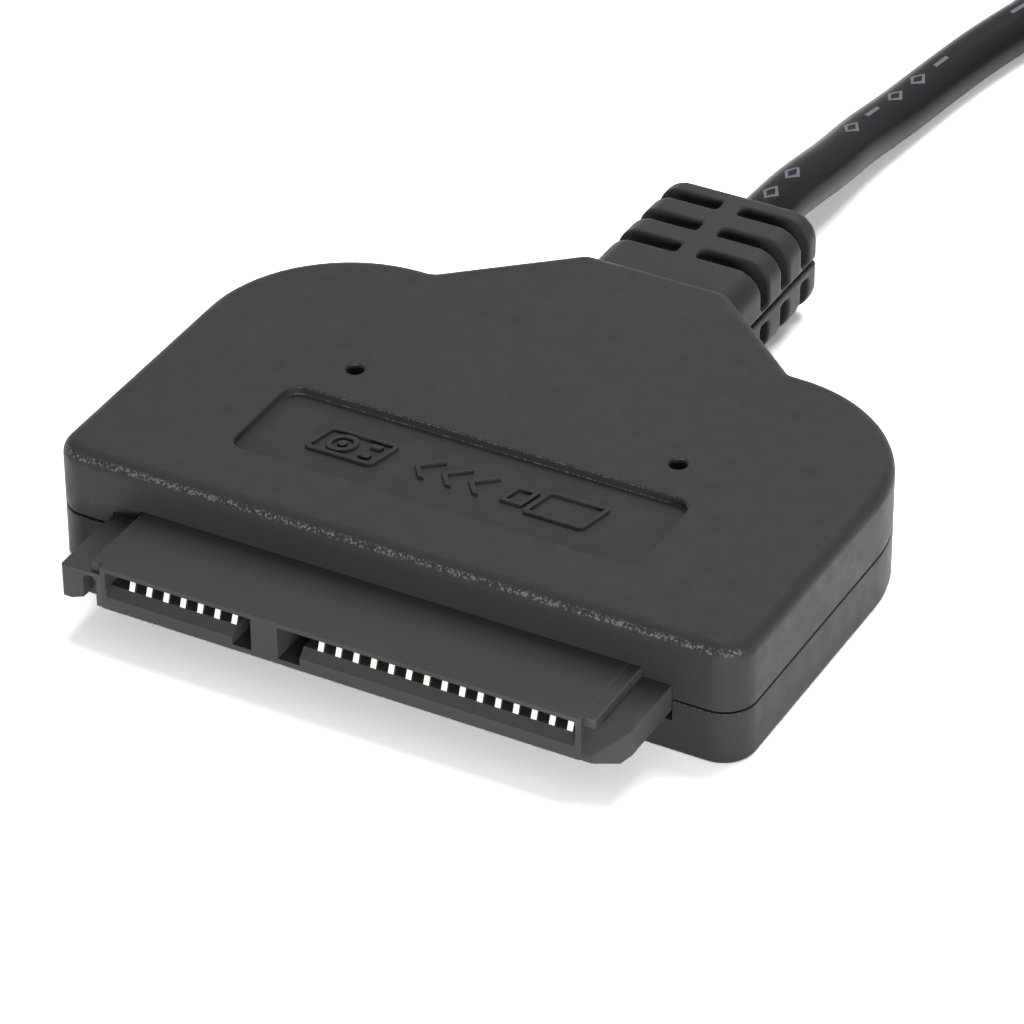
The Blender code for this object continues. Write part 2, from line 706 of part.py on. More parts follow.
def make_board(material):
    half = BOARD_WIDTH / 2
    corners = (
        (-half, BOARD_FRONT, BOARD_FRONT_RADIUS),
        (half, BOARD_FRONT, BOARD_FRONT_RADIUS),
        (half, BOARD_BACK, BOARD_CORNER_RADIUS),
        (-half, BOARD_BACK, BOARD_CORNER_RADIUS),
    )
    outline = rounded_outline(corners)
    add_object("circuit_board", plate_mesh("circuit_board", [outline], BOARD_BOTTOM, BOARD_TOP), material)


def add_component(name, size, place, material):
    """A block that sits on the board at place, measured from the board's front middle."""
    width, length, height = size
    x, y = place[0], BOARD_FRONT + place[1]
    base = BOARD_TOP + FIT_GAP
    mesh = box_mesh(
        name, (x - width / 2, y - length / 2, base), (x + width / 2, y + length / 2, base + height)
    )
    component = add_object(name, mesh, material)
    edges = component.modifiers.new("Soft edges", "BEVEL")
    edges.width = COMPONENT_EDGE
    edges.segments = 1


def make_components(dark, metal, tan, clear):
    chip_size = (CHIP_SIZE, CHIP_SIZE, CHIP_HEIGHT)
    add_component("bridge_chip", chip_size, (0.0, CHIP_FRONT + CHIP_SIZE / 2), dark)
    add_component("crystal", CRYSTAL_SIZE, CRYSTAL_PLACE, metal)
    add_component("inductor", INDUCTOR_SIZE, INDUCTOR_PLACE, dark)
    add_component("regulator", REGULATOR_SIZE, REGULATOR_PLACE, dark)
    for number, place in enumerate(CAPACITOR_PLACES, 1):
        add_component(f"capacitor_{number}", CAPACITOR_SIZE, place, tan)
    row = BODY_FRONT + HOLE_FRONT - BOARD_FRONT
    for side, label in ((-1, "left"), (1, "right")):
        add_component(f"indicator_led_{label}", LED_SIZE, (side * HOLE_HALF_SPACING, row), clear)


def boot_slot_outlines():
    """Four L-shaped windows around the core, which leave a spine above and below and a web at each side."""
    core_x = BOOT_CORE_WIDTH / 2
    core_z = BOOT_CORE_HEIGHT / 2
    spine = BOOT_SPINE_WIDTH / 2
    web = BOOT_SIDE_WEB / 2
    out_x = BOOT_WIDTH / 2 + THROUGH
    out_z = BOOT_HEIGHT / 2 + THROUGH
    arc = [math.radians(a) for a in (0, 30, 60, 90)]
    bend = core_z - web
    inside = [(core_x - bend + bend * math.cos(a), core_z - bend + bend * math.sin(a)) for a in arc]
    quarter = [(out_x, web), (out_x, out_z), (spine, out_z), (spine, core_z)] + inside[::-1]
    outlines = []
    for side in (-1, 1):
        for level in (-1, 1):
            outlines.append([(side * x, BOOT_MIDDLE + level * z) for x, z in quarter])
    return outlines


def make_boot(material):
    half = BOOT_WIDTH / 2
    front = BODY_BACK + BOOT_BODY_GAP
    section = rectangle(-half, half, BOOT_BASE, BOOT_TOP, BOOT_RADIUS)
    boot = add_object("cable_boot", plate_mesh("cable_boot", [section], front, BOOT_BACK, "Y"), material)
    round_rim(boot, 1, BOOT_BACK, BOOT_END_ROUND, 2)
    neck_half = BOOT_NECK_WIDTH / 2
    neck_tall = BORE_RADIUS + BOOT_NECK_WALL
    flange_back = BODY_BACK - WALL - FIT_GAP
    flange_front = flange_back - BOOT_FLANGE_THICKNESS
    neck = rectangle(
        -neck_half, neck_half, BOOT_MIDDLE - neck_tall, BOOT_MIDDLE + neck_tall, BOOT_NECK_RADIUS
    )
    add(boot, plate_mesh("boot_neck", [neck], flange_back - FIT_GAP, front + FIT_GAP, "Y"))
    flange_half = BOOT_FLANGE_WIDTH / 2
    flange_tall = neck_tall + BOOT_FLANGE_RISE
    flange = rectangle(
        -flange_half, flange_half, BOOT_MIDDLE - flange_tall, BOOT_MIDDLE + flange_tall, BOOT_FLANGE_RADIUS
    )
    add(boot, plate_mesh("boot_flange", [flange], flange_front, flange_back, "Y"))
    windows = []
    for i in range(BOOT_SLOT_COUNT):
        start = BODY_BACK + BOOT_FIRST_SLOT + i * BOOT_SLOT_PITCH
        windows.append(plate_mesh("window", boot_slot_outlines(), start, start + BOOT_SLOT_WIDTH, "Y"))
    cut(boot, joined_mesh("boot_windows", windows))
    bore = cylinder_mesh("boot_bore", (0, 0), flange_front - THROUGH, BOOT_BACK + THROUGH, 2 * BORE_RADIUS)
    bore.transform(Matrix.Translation((0, 0, BOOT_MIDDLE)) @ Matrix.Rotation(math.radians(-90), 4, "X"))
    cut(boot, bore)


def make_inner_cable(jacket, wires):
    """The jacket's end inside the strain relief, and the wires that fan out from it to the board."""
    flange_front = BODY_BACK - WALL - FIT_GAP - BOOT_FLANGE_THICKNESS
    start = flange_front - JACKET_END
    end = BOOT_BACK - CABLE_SPLIT
    add_tube("cable_inner_end", [(0, start, BOOT_MIDDLE), (0, end, BOOT_MIDDLE)], CABLE_DIAMETER, jacket, 4)
    wire_z = BOARD_TOP + FIT_GAP + WIRE_DIAMETER / 2
    exit_step = CABLE_DIAMETER / WIRE_COUNT
    for number, material in enumerate(wires, 1):
        offset = number - (WIRE_COUNT + 1) / 2
        landing = BOARD_BACK - WIRE_DIAMETER - FIT_GAP
        route = [
            (offset * exit_step, start - FIT_GAP, BOOT_MIDDLE + CABLE_DIAMETER / 4),
            (offset * WIRE_SPACING * 0.9, start - WIRE_LENGTH * 0.35, wire_z + WIRE_DIAMETER / 2),
            (offset * WIRE_SPACING, landing, wire_z),
            (offset * WIRE_SPACING, landing - WIRE_DIAMETER * 2, wire_z),
        ]
        add_tube(f"wire_{number}", smooth_line(route, WIRE_DIAMETER * 2), WIRE_DIAMETER, material)


def across_coil(mesh):
    """Turns a section drawn at the coil's +X side to the tie's angle."""
    mesh.transform(Matrix.Translation((*COIL_CENTRE, 0.0)) @ Matrix.Rotation(TIE_ANGLE, 4, "Z"))
    return mesh


def make_tie(material):
    """A flat loop round the coil's bundle. It lies on the surface with the coil."""
    start = COIL_INNER_RADIUS - FIT_GAP
    end = COIL_OUTER_RADIUS + FIT_GAP
    top = COIL_HEIGHT + TIE_THICKNESS
    inner = rectangle(start, end, TIE_THICKNESS, top)
    outer = rectangle(start - TIE_THICKNESS, end + TIE_THICKNESS, 0.0, top + TIE_THICKNESS)
    loop = plate_mesh("cable_tie", [outer, inner], -TIE_WIDTH / 2, TIE_WIDTH / 2, "Y")
    add_object("cable_tie", across_coil(loop), material)


def make_coil(jacket):
    """The wound length as one turned ring, lifted a little where the tie passes under it."""
    profile = rectangle(
        COIL_INNER_RADIUS, COIL_OUTER_RADIUS, 0.0, COIL_HEIGHT, radius=CABLE_DIAMETER / 2
    )[::-1]
    mesh = bpy.data.meshes.new("cable_coil")
    vertices = [(x, 0.0, z) for x, z in profile]
    edges = [(i, (i + 1) % len(profile)) for i in range(len(profile))]
    mesh.from_pydata(vertices, edges, [])
    coil = add_object("cable_coil", mesh, jacket)
    coil.location = (*COIL_CENTRE, 0.0)
    screw = coil.modifiers.new("Turned ring", "SCREW")
    screw.axis = "Z"
    screw.angle = math.tau
    screw.steps = COIL_STEPS
    screw.render_steps = COIL_STEPS
    screw.use_merge_vertices = True
    screw.merge_threshold = 0.00001
    half = TIE_WIDTH / 2 + FIT_GAP
    start = (COIL_INNER_RADIUS - THROUGH, -half, -THROUGH)
    end = (COIL_OUTER_RADIUS + THROUGH, half, TIE_THICKNESS + FIT_GAP)
    cut(coil, across_coil(box_mesh("tie_passage", start, end)))


def make_cable(jacket):
    start = (0.0, BOOT_BACK - CABLE_SPLIT + FIT_GAP, BOOT_MIDDLE)
    leaving = (0.0, BOOT_BACK, BOOT_MIDDLE)
    run = smooth_line((start, leaving) + CABLE_ROUTE, CABLE_DIAMETER)
    add_tube("cable_run", run, CABLE_DIAMETER, jacket)
    lead = smooth_line(LEAD_ROUTE, CABLE_DIAMETER * 0.6)
    add_tube("cable_lead", lead, CABLE_DIAMETER, jacket)


def make_plug_grip(material):
    half = GRIP_WIDTH / 2
    grip = add_object(
        "usb_grip",
        box_mesh("usb_grip", (PLUG_X - half, GRIP_FRONT, 0.0), (PLUG_X + half, GRIP_BACK, GRIP_HEIGHT)),
        material,
    )
    edges = grip.modifiers.new("Soft edges", "BEVEL")
    edges.width = GRIP_ROUND
    edges.segments = 3
    relief = cylinder_mesh(
        "usb_relief", (0.0, 0.0), -RELIEF_LENGTH - FIT_GAP, 0.0, RELIEF_END_DIAMETER, RELIEF_START_DIAMETER
    )
    place = Matrix.Translation((PLUG_X, PLUG_BACK, PLUG_AXIS))
    relief.transform(place @ Matrix.Rotation(math.radians(-90), 4, "X"))
    add(grip, relief)
    socket_half = SHELL_WIDTH / 2 + FIT_GAP
    socket_tall = SHELL_HEIGHT / 2 + FIT_GAP
    socket = rectangle(
        PLUG_X - socket_half, PLUG_X + socket_half, PLUG_AXIS - socket_tall, PLUG_AXIS + socket_tall, SHELL_RADIUS
    )
    depth = GRIP_FRONT + SHELL_SOCKET_DEPTH + FIT_GAP
    cut(grip, plate_mesh("shell_socket", [socket], GRIP_FRONT - THROUGH, depth, "Y"))


def shell_section(inset):
    half = SHELL_WIDTH / 2
    tall = SHELL_HEIGHT / 2
    return rectangle(PLUG_X - half, PLUG_X + half, PLUG_AXIS - tall, PLUG_AXIS + tall, SHELL_RADIUS, inset)


def make_plug_end(metal, plastic, gold):
    """The plug's shell, its insulator with a tongue, and the contacts on the tongue."""
    mouth = GRIP_FRONT - SHELL_REACH
    seat = GRIP_FRONT + SHELL_SOCKET_DEPTH
    section = [shell_section(0.0), shell_section(SHELL_THICKNESS)]
    add_object("usb_shell", plate_mesh("usb_shell", section, mouth, seat, "Y"), metal)
    inside = SHELL_THICKNESS + FIT_GAP
    block = plate_mesh("usb_insulator", [shell_section(inside)], seat - TONGUE_BLOCK_LENGTH, seat, "Y")
    insulator = add_object("usb_insulator", block, plastic)
    tongue_half = SHELL_WIDTH / 2 - inside - SHELL_RADIUS
    tongue_top = PLUG_AXIS + SHELL_HEIGHT / 2 - inside
    tongue_low = tongue_top - TONGUE_HEIGHT
    tongue_start = (PLUG_X - tongue_half, mouth + FIT_GAP, tongue_low)
    tongue_end = (PLUG_X + tongue_half, seat - FIT_GAP, tongue_top)
    add(insulator, box_mesh("usb_tongue", tongue_start, tongue_end))
    pad_top = tongue_low - USB_CONTACT_GAP
    pad_low = pad_top - USB_PAD_THICKNESS
    rows = (
        (USB_PAD_PLACES, USB_PAD_WIDTH, mouth + 2 * FIT_GAP, USB_PAD_LENGTH),
        (USB_SPRING_PLACES, USB_SPRING_WIDTH, mouth + 3 * FIT_GAP + USB_PAD_LENGTH, USB_SPRING_LENGTH),
    )
    number = 1
    for places, width, front, length in rows:
        for x in places:
            start = (PLUG_X + x - width / 2, front, pad_low)
            end = (PLUG_X + x + width / 2, front + length, pad_top)
            add_object(f"usb_contact_{number}", box_mesh(f"usb_contact_{number}", start, end), gold)
            number += 1


def build_model():
    shell_plastic = make_material("shell_plastic", (0.045, 0.045, 0.047), 0.55)
    connector_plastic = make_material("connector_plastic", (0.030, 0.030, 0.031), 0.42)
    boot_plastic = make_material("boot_plastic", (0.035, 0.035, 0.036), 0.48)
    jacket = make_material("cable_jacket", (0.020, 0.020, 0.021), 0.38)
    board = make_material("board_laminate", (0.010, 0.120, 0.045), 0.45)
    chip = make_material("chip_plastic", (0.020, 0.020, 0.022), 0.50)
    ceramic = make_material("capacitor_body", (0.420, 0.280, 0.090), 0.50)
    clear = make_material("indicator_lens", (0.700, 0.750, 0.700), 0.20)
    gold = make_material("contact_gold", (0.830, 0.690, 0.420), 0.25, 1.0)
    steel = make_material("plug_steel", (0.620, 0.620, 0.630), 0.28, 1.0)
    blue = make_material("tongue_plastic", (0.020, 0.110, 0.520), 0.45)
    strap = make_material("tie_plastic", (0.015, 0.015, 0.016), 0.45)
    wire_colours = (
        (0.500, 0.020, 0.020),
        (0.650, 0.650, 0.640),
        (0.030, 0.300, 0.060),
        (0.030, 0.080, 0.420),
        (0.550, 0.220, 0.020),
        (0.015, 0.015, 0.015),
    )
    wires = [make_material(f"wire_{i}", colour, 0.4) for i, colour in enumerate(wire_colours, 1)]
    make_top_cover(shell_plastic)
    make_bottom_cover(shell_plastic)
    make_sata_housing(connector_plastic)
    make_sata_contacts(gold)
    make_board(board)
    make_components(chip, steel, ceramic, clear)
    make_boot(boot_plastic)
    make_inner_cable(jacket, wires)
    make_cable(jacket)
    make_coil(jacket)
    make_tie(strap)
    make_plug_grip(shell_plastic)
    make_plug_end(steel, blue, gold)


clear_scene()
MODEL = new_collection("usb_to_sata_adapter")
CUTTERS = new_collection("cutters")
build_model()
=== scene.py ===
import math

import bmesh
import bpy
from mathutils import Matrix, Quaternion, Vector


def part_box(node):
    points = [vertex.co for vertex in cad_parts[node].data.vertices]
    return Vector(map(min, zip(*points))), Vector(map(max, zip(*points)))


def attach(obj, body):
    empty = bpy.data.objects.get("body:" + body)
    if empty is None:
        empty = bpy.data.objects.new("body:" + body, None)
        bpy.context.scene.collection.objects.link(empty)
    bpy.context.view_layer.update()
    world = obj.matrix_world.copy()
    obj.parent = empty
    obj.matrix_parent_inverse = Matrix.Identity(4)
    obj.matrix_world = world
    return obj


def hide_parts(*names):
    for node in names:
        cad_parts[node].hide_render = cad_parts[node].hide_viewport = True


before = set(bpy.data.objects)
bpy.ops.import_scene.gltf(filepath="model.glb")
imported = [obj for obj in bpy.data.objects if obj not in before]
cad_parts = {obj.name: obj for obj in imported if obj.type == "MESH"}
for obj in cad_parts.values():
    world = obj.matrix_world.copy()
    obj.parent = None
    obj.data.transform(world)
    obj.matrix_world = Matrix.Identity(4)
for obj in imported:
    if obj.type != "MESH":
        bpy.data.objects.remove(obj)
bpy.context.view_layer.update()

# The photograph's camera
CAMERA_PLACE = (0.14033, -0.26134, 0.20148)
CAMERA_AZIMUTH = math.radians(28.74)
CAMERA_ELEVATION = math.radians(34.42)
CAMERA_ROLL = math.radians(-0.47)
CAMERA_LENS = 187.5
SENSOR_WIDTH = 36.0

# Places that the frame gives
TOP_LOW, TOP_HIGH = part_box("top_cover")
HOUSING_LOW, HOUSING_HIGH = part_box("sata_housing")
BOOT_LOW, BOOT_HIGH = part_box("cable_boot")
GRIP_LOW, GRIP_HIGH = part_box("usb_grip")
SHELL_LOW, SHELL_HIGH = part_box("usb_shell")
TIE_LOW, TIE_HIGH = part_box("cable_tie")
BODY_HALF = TOP_HIGH.x
BODY_FRONT = TOP_LOW.y
BODY_BACK = TOP_HIGH.y
BODY_TOP = TOP_HIGH.z
LIP_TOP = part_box("bottom_cover")[1].z
CONNECTOR_FACE = HOUSING_LOW.y
CONNECTOR_BACK = HOUSING_HIGH.y
BOOT_BACK = BOOT_HIGH.y
BOOT_MIDDLE = (BOOT_LOW.z + BOOT_HIGH.z) / 2
PLUG_X = (GRIP_LOW.x + GRIP_HIGH.x) / 2
PLUG_AXIS = (GRIP_LOW.z + GRIP_HIGH.z) / 2

# Body shells
SEAM_HEIGHT = 0.0040
SEAM_GAP = 0.00014
SEAM_EDGE = 0.00009
CORNER_RADIUS = 0.0023
SHOULDER = BODY_FRONT + 0.0307
SHOULDER_RADIUS = 0.0108
NECK_START_HALF = 0.0136
NECK_END_HALF = 0.0054
NECK_INNER_RADIUS = 0.0010
NECK_OUTER_RADIUS = 0.0016
TOP_ROUND = 0.0011
BOTTOM_ROUND = 0.0003
WALL = 0.0016
ROOF = 0.0015
FLOOR_WALL = 0.0012
LIP_INSET = 0.0009
LIP_ROOT = 0.0004
CAVITY_EDGE = 0.0005
FIT_GAP = 0.0003
OPENING_GAP = 0.00006
BOOT_OPENING_RADIUS = 0.0012
THROUGH = 0.001
RECESS_HALF = 0.01495
RECESS_FRONT = BODY_FRONT + 0.0055
RECESS_BACK = BODY_FRONT + 0.0137
RECESS_DEPTH = 0.0006
RECESS_RADIUS = 0.0012
RECESS_EDGE = 0.00014
HOLE_RADIUS = 0.00062
HOLE_FLARE = 0.00012
HOLE_X = 0.01205
HOLE_Y = BODY_FRONT + 0.0172
SYMBOL_HEIGHT = 0.00022
SYMBOL_ROOT = 0.0003
SYMBOL_EDGE = 0.00005
SYMBOL_STROKE = 0.00034
SYMBOL_SLANT = 0.22
SYMBOL_HALF = 0.00150
SYMBOL_MIDDLE = (RECESS_FRONT + RECESS_BACK) / 2 + 0.0001
PLUG_SIGN = (0.0056, 0.0101)
PLUG_SIGN_RADIUS = 0.0004
PLUG_TIP = (0.0036, 0.0053)
PLUG_TIP_HALF = SYMBOL_HALF * 0.66
PLUG_TIP_RADIUS = 0.0002
ARROW_HEADS = (-0.0022, -0.0002, 0.0018)
ARROW_REACH = SYMBOL_HALF * 0.75
ARROW_STROKE = SYMBOL_STROKE * 1.25
DISC_SIGN = (-0.0106, -0.0054)
DISC_SIGN_RADIUS = 0.0005
DISC_CENTRE = -0.0087
DISC_RADIUS = 0.00100
DISC_HUB_RADIUS = 0.00032
DISC_BAR = (-0.0070, -0.0062)
DISC_BAR_ENDS = ((-0.55, -0.25), (0.25, 0.55))
DISC_BAR_RADIUS = 0.00008

# Drive connector
BLOCK_HALF = 0.01745
BLOCK_LOW = 0.0025
BLOCK_HIGH = 0.00575
SLOT_TOP = 0.00537
SLOT_BOTTOM = 0.0041
SLOT_FOOT = 0.00295
SLOT_LIP = 0.0006
SLOT_BACK = CONNECTOR_FACE + 0.0066
PASSAGE_HEIGHT = 0.00069
SIGNAL_SLOT = (-0.01705, -0.0062)
SIGNAL_KEY = (-0.0076, -0.0062)
POWER_SLOT = (-0.00425, 0.01705)
POWER_KEY = (-0.00425, -0.00265)
RIB_HALF = 0.0183
RIB_LOW = 0.00505
RIB_SETBACK = 0.0004
ARM_REACH = 0.0204
ARM_HIGH = 0.00505
ARM_TIP = 0.00115
ARM_TIP_REACH = 0.0182
ARM_CHAMFER = 0.0007
ARM_LEAD_BASE = 0.0006
ARM_LEAD_LENGTH = 0.0012
EAR_CORNER = 0.00015
EAR_POCKET = (-0.01875, -0.0178)
EAR_POCKET_TOP = 0.00475
EAR_POCKET_RADIUS = 0.0004
EAR_POCKET_DEPTH = 0.0011
EAR_TOE = 0.0005
EAR_TOE_RISE = 0.00045
FLANGE_HALF = HOUSING_HIGH.x
FLANGE_FRONT = BODY_FRONT + WALL + FIT_GAP
FLANGE_BACK = FLANGE_FRONT + 0.0010
CONNECTOR_EDGE = 0.00007
HAIR = 0.00003

# Strain relief
BOOT_HALF = BOOT_HIGH.x
BOOT_FRONT = BODY_BACK + 0.00015
BOOT_RADIUS = 0.0019
BOOT_FRONT_ROUND = 0.0001
BOOT_BACK_ROUND = 0.0005
BOOT_SLOTS = 3
BOOT_FIRST_SLOT = BODY_BACK + 0.0041
BOOT_SLOT_WIDTH = 0.00125
BOOT_SLOT_PITCH = 0.00317
BOOT_SPINE = 0.00075
BOOT_WEB = 0.00065
BOOT_GROOVE_WIDTH = 0.00030
BOOT_GROOVE_DEPTH = 0.00050
BOOT_CORE_HALF = 0.0042
BOOT_CORE_TALL = 0.0027
BOOT_NECK_HALF = 0.0036
BOOT_NECK_TALL = 0.0026
BOOT_NECK_RADIUS = 0.0010
BOOT_FLANGE_HALF = 0.0044
BOOT_FLANGE_TALL = BOOT_NECK_TALL + 0.00005
BOOT_FLANGE_RADIUS = 0.0008
BORE_RADIUS = 0.0022
BOOT_VOXEL = 0.00014

# Cable
CABLE_DIAMETER = 0.0038
CABLE_START = (0.0, BOOT_BACK - 0.0067, BOOT_MIDDLE)
CABLE_EXIT = (0.0, BOOT_BACK, BOOT_MIDDLE)
CABLE_ROUTE = (
    (0.00010, 0.0362, 0.00395),
    (0.00030, 0.0425, 0.00320),
    (0.00030, 0.0476, 0.00260),
    (0.00080, 0.0535, 0.00210),
    (0.00140, 0.0593, 0.00192),
    (0.00220, 0.0646, 0.00192),
    (0.00330, 0.0698, 0.00192),
    (0.00462, 0.0745, 0.00192),
)
COIL_CENTRE = (0.0315, 0.0773)
COIL_START_ANGLE = math.radians(150.0)
COIL_START_RADIUS = 0.0228
COIL_LOWER_TURNS = 2.0
COIL_UPPER_TURNS = 1.4167
COIL_CLIMB_START = 1.85
COIL_CLIMB_TURNS = 0.25
COIL_STEPS_PER_TURN = 24
TIE_ANGLE = math.radians(60.0)
TIE_WIDTH = 0.0050
TIE_RADIUS = 0.0022
TURNS_WIDTH = 0.0097
TIE_THICKNESS = 0.0008
STRAP_THICKNESS = TIE_THICKNESS * 0.6
TIE_EDGE = 0.0001
TAB_ENDS = (-0.35, 0.55)
TAB_WIDTH = TIE_WIDTH * 0.88
TAB_THICKNESS = STRAP_THICKNESS * 0.9
TAB_RISE = STRAP_THICKNESS * 0.6
TAB_EDGE = 0.00008
TIE_REACH = math.radians(32.0)
LEAD_ROUTE = (
    (0.05205, 0.0720, 0.00570),
    (0.05180, 0.0660, 0.00560),
    (0.05130, 0.0594, 0.00520),
    (0.05040, 0.0570, 0.00480),
    (0.04960, 0.0545, 0.00430),
    (0.04920, 0.0520, 0.00400),
    (0.04900, 0.0490, 0.00400),
)
CABLE_STEP = 0.0009
CABLE_SIDES = 24
MARK_ROWS = (
    (0.0107, "diamond"),
    (0.0140, "diamond"),
    (0.0235, "diamond"),
    (0.0269, "dash"),
    (0.0303, "diamond"),
    (0.0337, "diamond"),
    (0.0371, "dash"),
    (0.0475, "dash"),
)
MARK_SIZES = {
    "diamond": ((0.00066, 0.00034), (0.00104, 0.00064)),
    "dash": ((0.0, 0.0), (0.00090, 0.00017)),
}
MARK_HALF = 0.00105
MARK_TURN = math.radians(-6.0)
MARK_REPEAT = 0.0440
MARK_LIFT = 0.00001
MARK_SIDE_STEPS = 6

# Plug
RELIEF_BACK = GRIP_HIGH.y
RELIEF_LENGTH = 0.0070
RELIEF_PROFILE = (
    (0.0033, -RELIEF_LENGTH - 0.0006),
    (0.0033, -RELIEF_LENGTH),
    (0.0030, -RELIEF_LENGTH * 0.72),
    (0.0025, -0.0004),
    (0.0023, -0.0001),
    (0.0021, 0.0),
)
RELIEF_GROOVES = 3
RELIEF_GROOVE_START = 0.25
RELIEF_GROOVE_PITCH = 0.22
RELIEF_GROOVE_HALF = 0.0003
RELIEF_GROOVE_RADII = (0.0040, 0.0024)
GRIP_BACK = RELIEF_BACK - RELIEF_LENGTH
GRIP_FRONT = GRIP_LOW.y
GRIP_HALF = (GRIP_HIGH.x - GRIP_LOW.x) / 2
GRIP_RADIUS = 0.0016
GRIP_FRONT_ROUND = 0.0008
GRIP_BACK_ROUND = 0.0014
PAD_HALF = GRIP_HALF * 0.62
PAD_MARGIN = 0.006
PAD_RADIUS = 0.002
PAD_DEPTH = 0.0002
SOCKET_RADIUS = 0.0005
SHELL_WALL = 0.0003
SHELL_RADIUS = 0.0005
SHELL_EDGE = 0.00008
WINDOW_X = 0.00285
WINDOW_WIDTH = 0.0025
WINDOW_START = 0.0052
WINDOW_RADIUS = 0.0002

# Light
WORLD_LIGHT = 0.13
FLOOR_TONE = 0.85
FLOOR_SEEN_TONE = 3.7
KEY_LAMP = ((-0.03, 0.34, 0.62), (0.48, 0.48), 2.8)
SIDE_LAMP = ((0.34, -0.46, 0.08), (0.40, 0.16), 2.7)
LAMP_TARGET = (0.0, 0.01, 0.0)

# Looks
PLASTIC = (0.040, 0.040, 0.042)
CONNECTOR_PLASTIC = (0.066, 0.066, 0.067)
BOOT_PLASTIC = (0.046, 0.046, 0.047)
JACKET = (0.026, 0.026, 0.028)
MARK_COLOUR = (0.17, 0.18, 0.23)
BOARD = (0.012, 0.110, 0.045)
BOARD_TRACES = (0.030, 0.210, 0.080)
EDGE_PALE_SHARE = 2.2
GLOSS_SIZE = 0.0015
DUST = (0.30, 0.30, 0.31)
DUST_SPACING = 0.0011
DUST_PATCH = 0.004
# Painted highlight: colour, grain size and rim normals of the glints painted on the front top rim
PAINTED_GLINT_COLOUR = (0.30, 0.30, 0.32)
PAINTED_GLINT_SIZE = 0.00013
PAINTED_GLINT_RIM = (("Z", 0.38, 0.50), ("Z", 0.80, 0.66), ("Y", -0.35, -0.55))


# Camera, light and floor


def add_node(tree, kind, inputs=None, **settings):
    """A shader node with its settings, and its inputs set to numbers or linked to other nodes' outputs."""
    node = tree.nodes.new(kind)
    for key, value in settings.items():
        setattr(node, key, value)
    for key, value in (inputs or {}).items():
        if isinstance(value, bpy.types.NodeSocket):
            tree.links.new(value, node.inputs[key])
        else:
            node.inputs[key].default_value = value
    return node


def scaled(tree, value, low, high, from_low=0.0, from_high=1.0):
    settings = {"Value": value, "From Min": from_low, "From Max": from_high, "To Min": low, "To Max": high}
    return add_node(tree, "ShaderNodeMapRange", settings).outputs["Result"]


def make_camera():
    camera = bpy.data.cameras.new("camera")
    camera.sensor_width = SENSOR_WIDTH
    camera.lens = CAMERA_LENS
    camera.clip_start = 0.01
    camera.clip_end = 20.0
    item = bpy.data.objects.new("camera", camera)
    bpy.context.scene.collection.objects.link(item)
    back = Vector((
        math.sin(CAMERA_AZIMUTH) * math.cos(CAMERA_ELEVATION),
        -math.cos(CAMERA_AZIMUTH) * math.cos(CAMERA_ELEVATION),
        math.sin(CAMERA_ELEVATION),
    ))
    item.location = CAMERA_PLACE
    item.rotation_mode = "QUATERNION"
    item.rotation_quaternion = (-back).to_track_quat("-Z", "Y") @ Quaternion((0, 0, 1), CAMERA_ROLL)
    bpy.context.scene.camera = item


def add_lamp(name, place, target, size, power):
    lamp = bpy.data.lights.new(name, "AREA")
    lamp.shape = "RECTANGLE"
    lamp.size, lamp.size_y = size
    lamp.energy = power
    item = bpy.data.objects.new(name, lamp)
    item.location = place
    item.rotation_mode = "QUATERNION"
    item.rotation_quaternion = (Vector(target) - Vector(place)).to_track_quat("-Z", "Y")
    bpy.context.scene.collection.objects.link(item)


def by_ray(tree, light, seen):
    """One value for light on surfaces, and one for what is seen, also in a reflection or through glass."""
    path = add_node(tree, "ShaderNodeLightPath").outputs
    total = path["Is Camera Ray"]
    for other in ("Is Glossy Ray", "Is Transmission Ray"):
        total = add_node(tree, "ShaderNodeMath", {0: total, 1: path[other]}, operation="MAXIMUM").outputs[0]
    return scaled(tree, total, light, seen)


def make_world():
    world = bpy.data.worlds.new("studio")
    bpy.context.scene.world = world
    world.use_nodes = True
    tree = world.node_tree
    tree.nodes.clear()
    inputs = {"Color": (1.0, 1.0, 1.0, 1.0), "Strength": by_ray(tree, WORLD_LIGHT, 1.0)}
    background = add_node(tree, "ShaderNodeBackground", inputs)
    add_node(tree, "ShaderNodeOutputWorld", {"Surface": background.outputs[0]})


def make_floor():
    shape = bmesh.new()
    bmesh.ops.create_grid(shape, x_segments=1, y_segments=1, size=3.0)
    mesh = bpy.data.meshes.new("floor")
    shape.to_mesh(mesh)
    shape.free()
    floor = bpy.data.objects.new("floor", mesh)
    bpy.context.scene.collection.objects.link(floor)
    material = bpy.data.materials.new("floor")
    material.use_nodes = True
    tree = material.node_tree
    tree.nodes.clear()
    tone = by_ray(tree, FLOOR_TONE, FLOOR_SEEN_TONE)
    diffuse = add_node(tree, "ShaderNodeBsdfDiffuse", {"Color": tone})
    add_node(tree, "ShaderNodeOutputMaterial", {"Surface": diffuse.outputs[0]})
    mesh.materials.append(material)


def make_lights():
    for name, (place, size, power) in (("key_lamp", KEY_LAMP), ("side_lamp", SIDE_LAMP)):
        add_lamp(name, place, LAMP_TARGET, size, power)


# Materials


def noise(tree, place, size, detail=2.0, stretch=None):
    """Noise whose features are about size metres across."""
    if stretch:
        place = add_node(tree, "ShaderNodeMapping", {"Vector": place, "Scale": stretch}).outputs[0]
    inputs = {"Vector": place, "Scale": 1.0 / size, "Detail": detail, "Roughness": 0.55}
    return add_node(tree, "ShaderNodeTexNoise", inputs).outputs["Fac"]


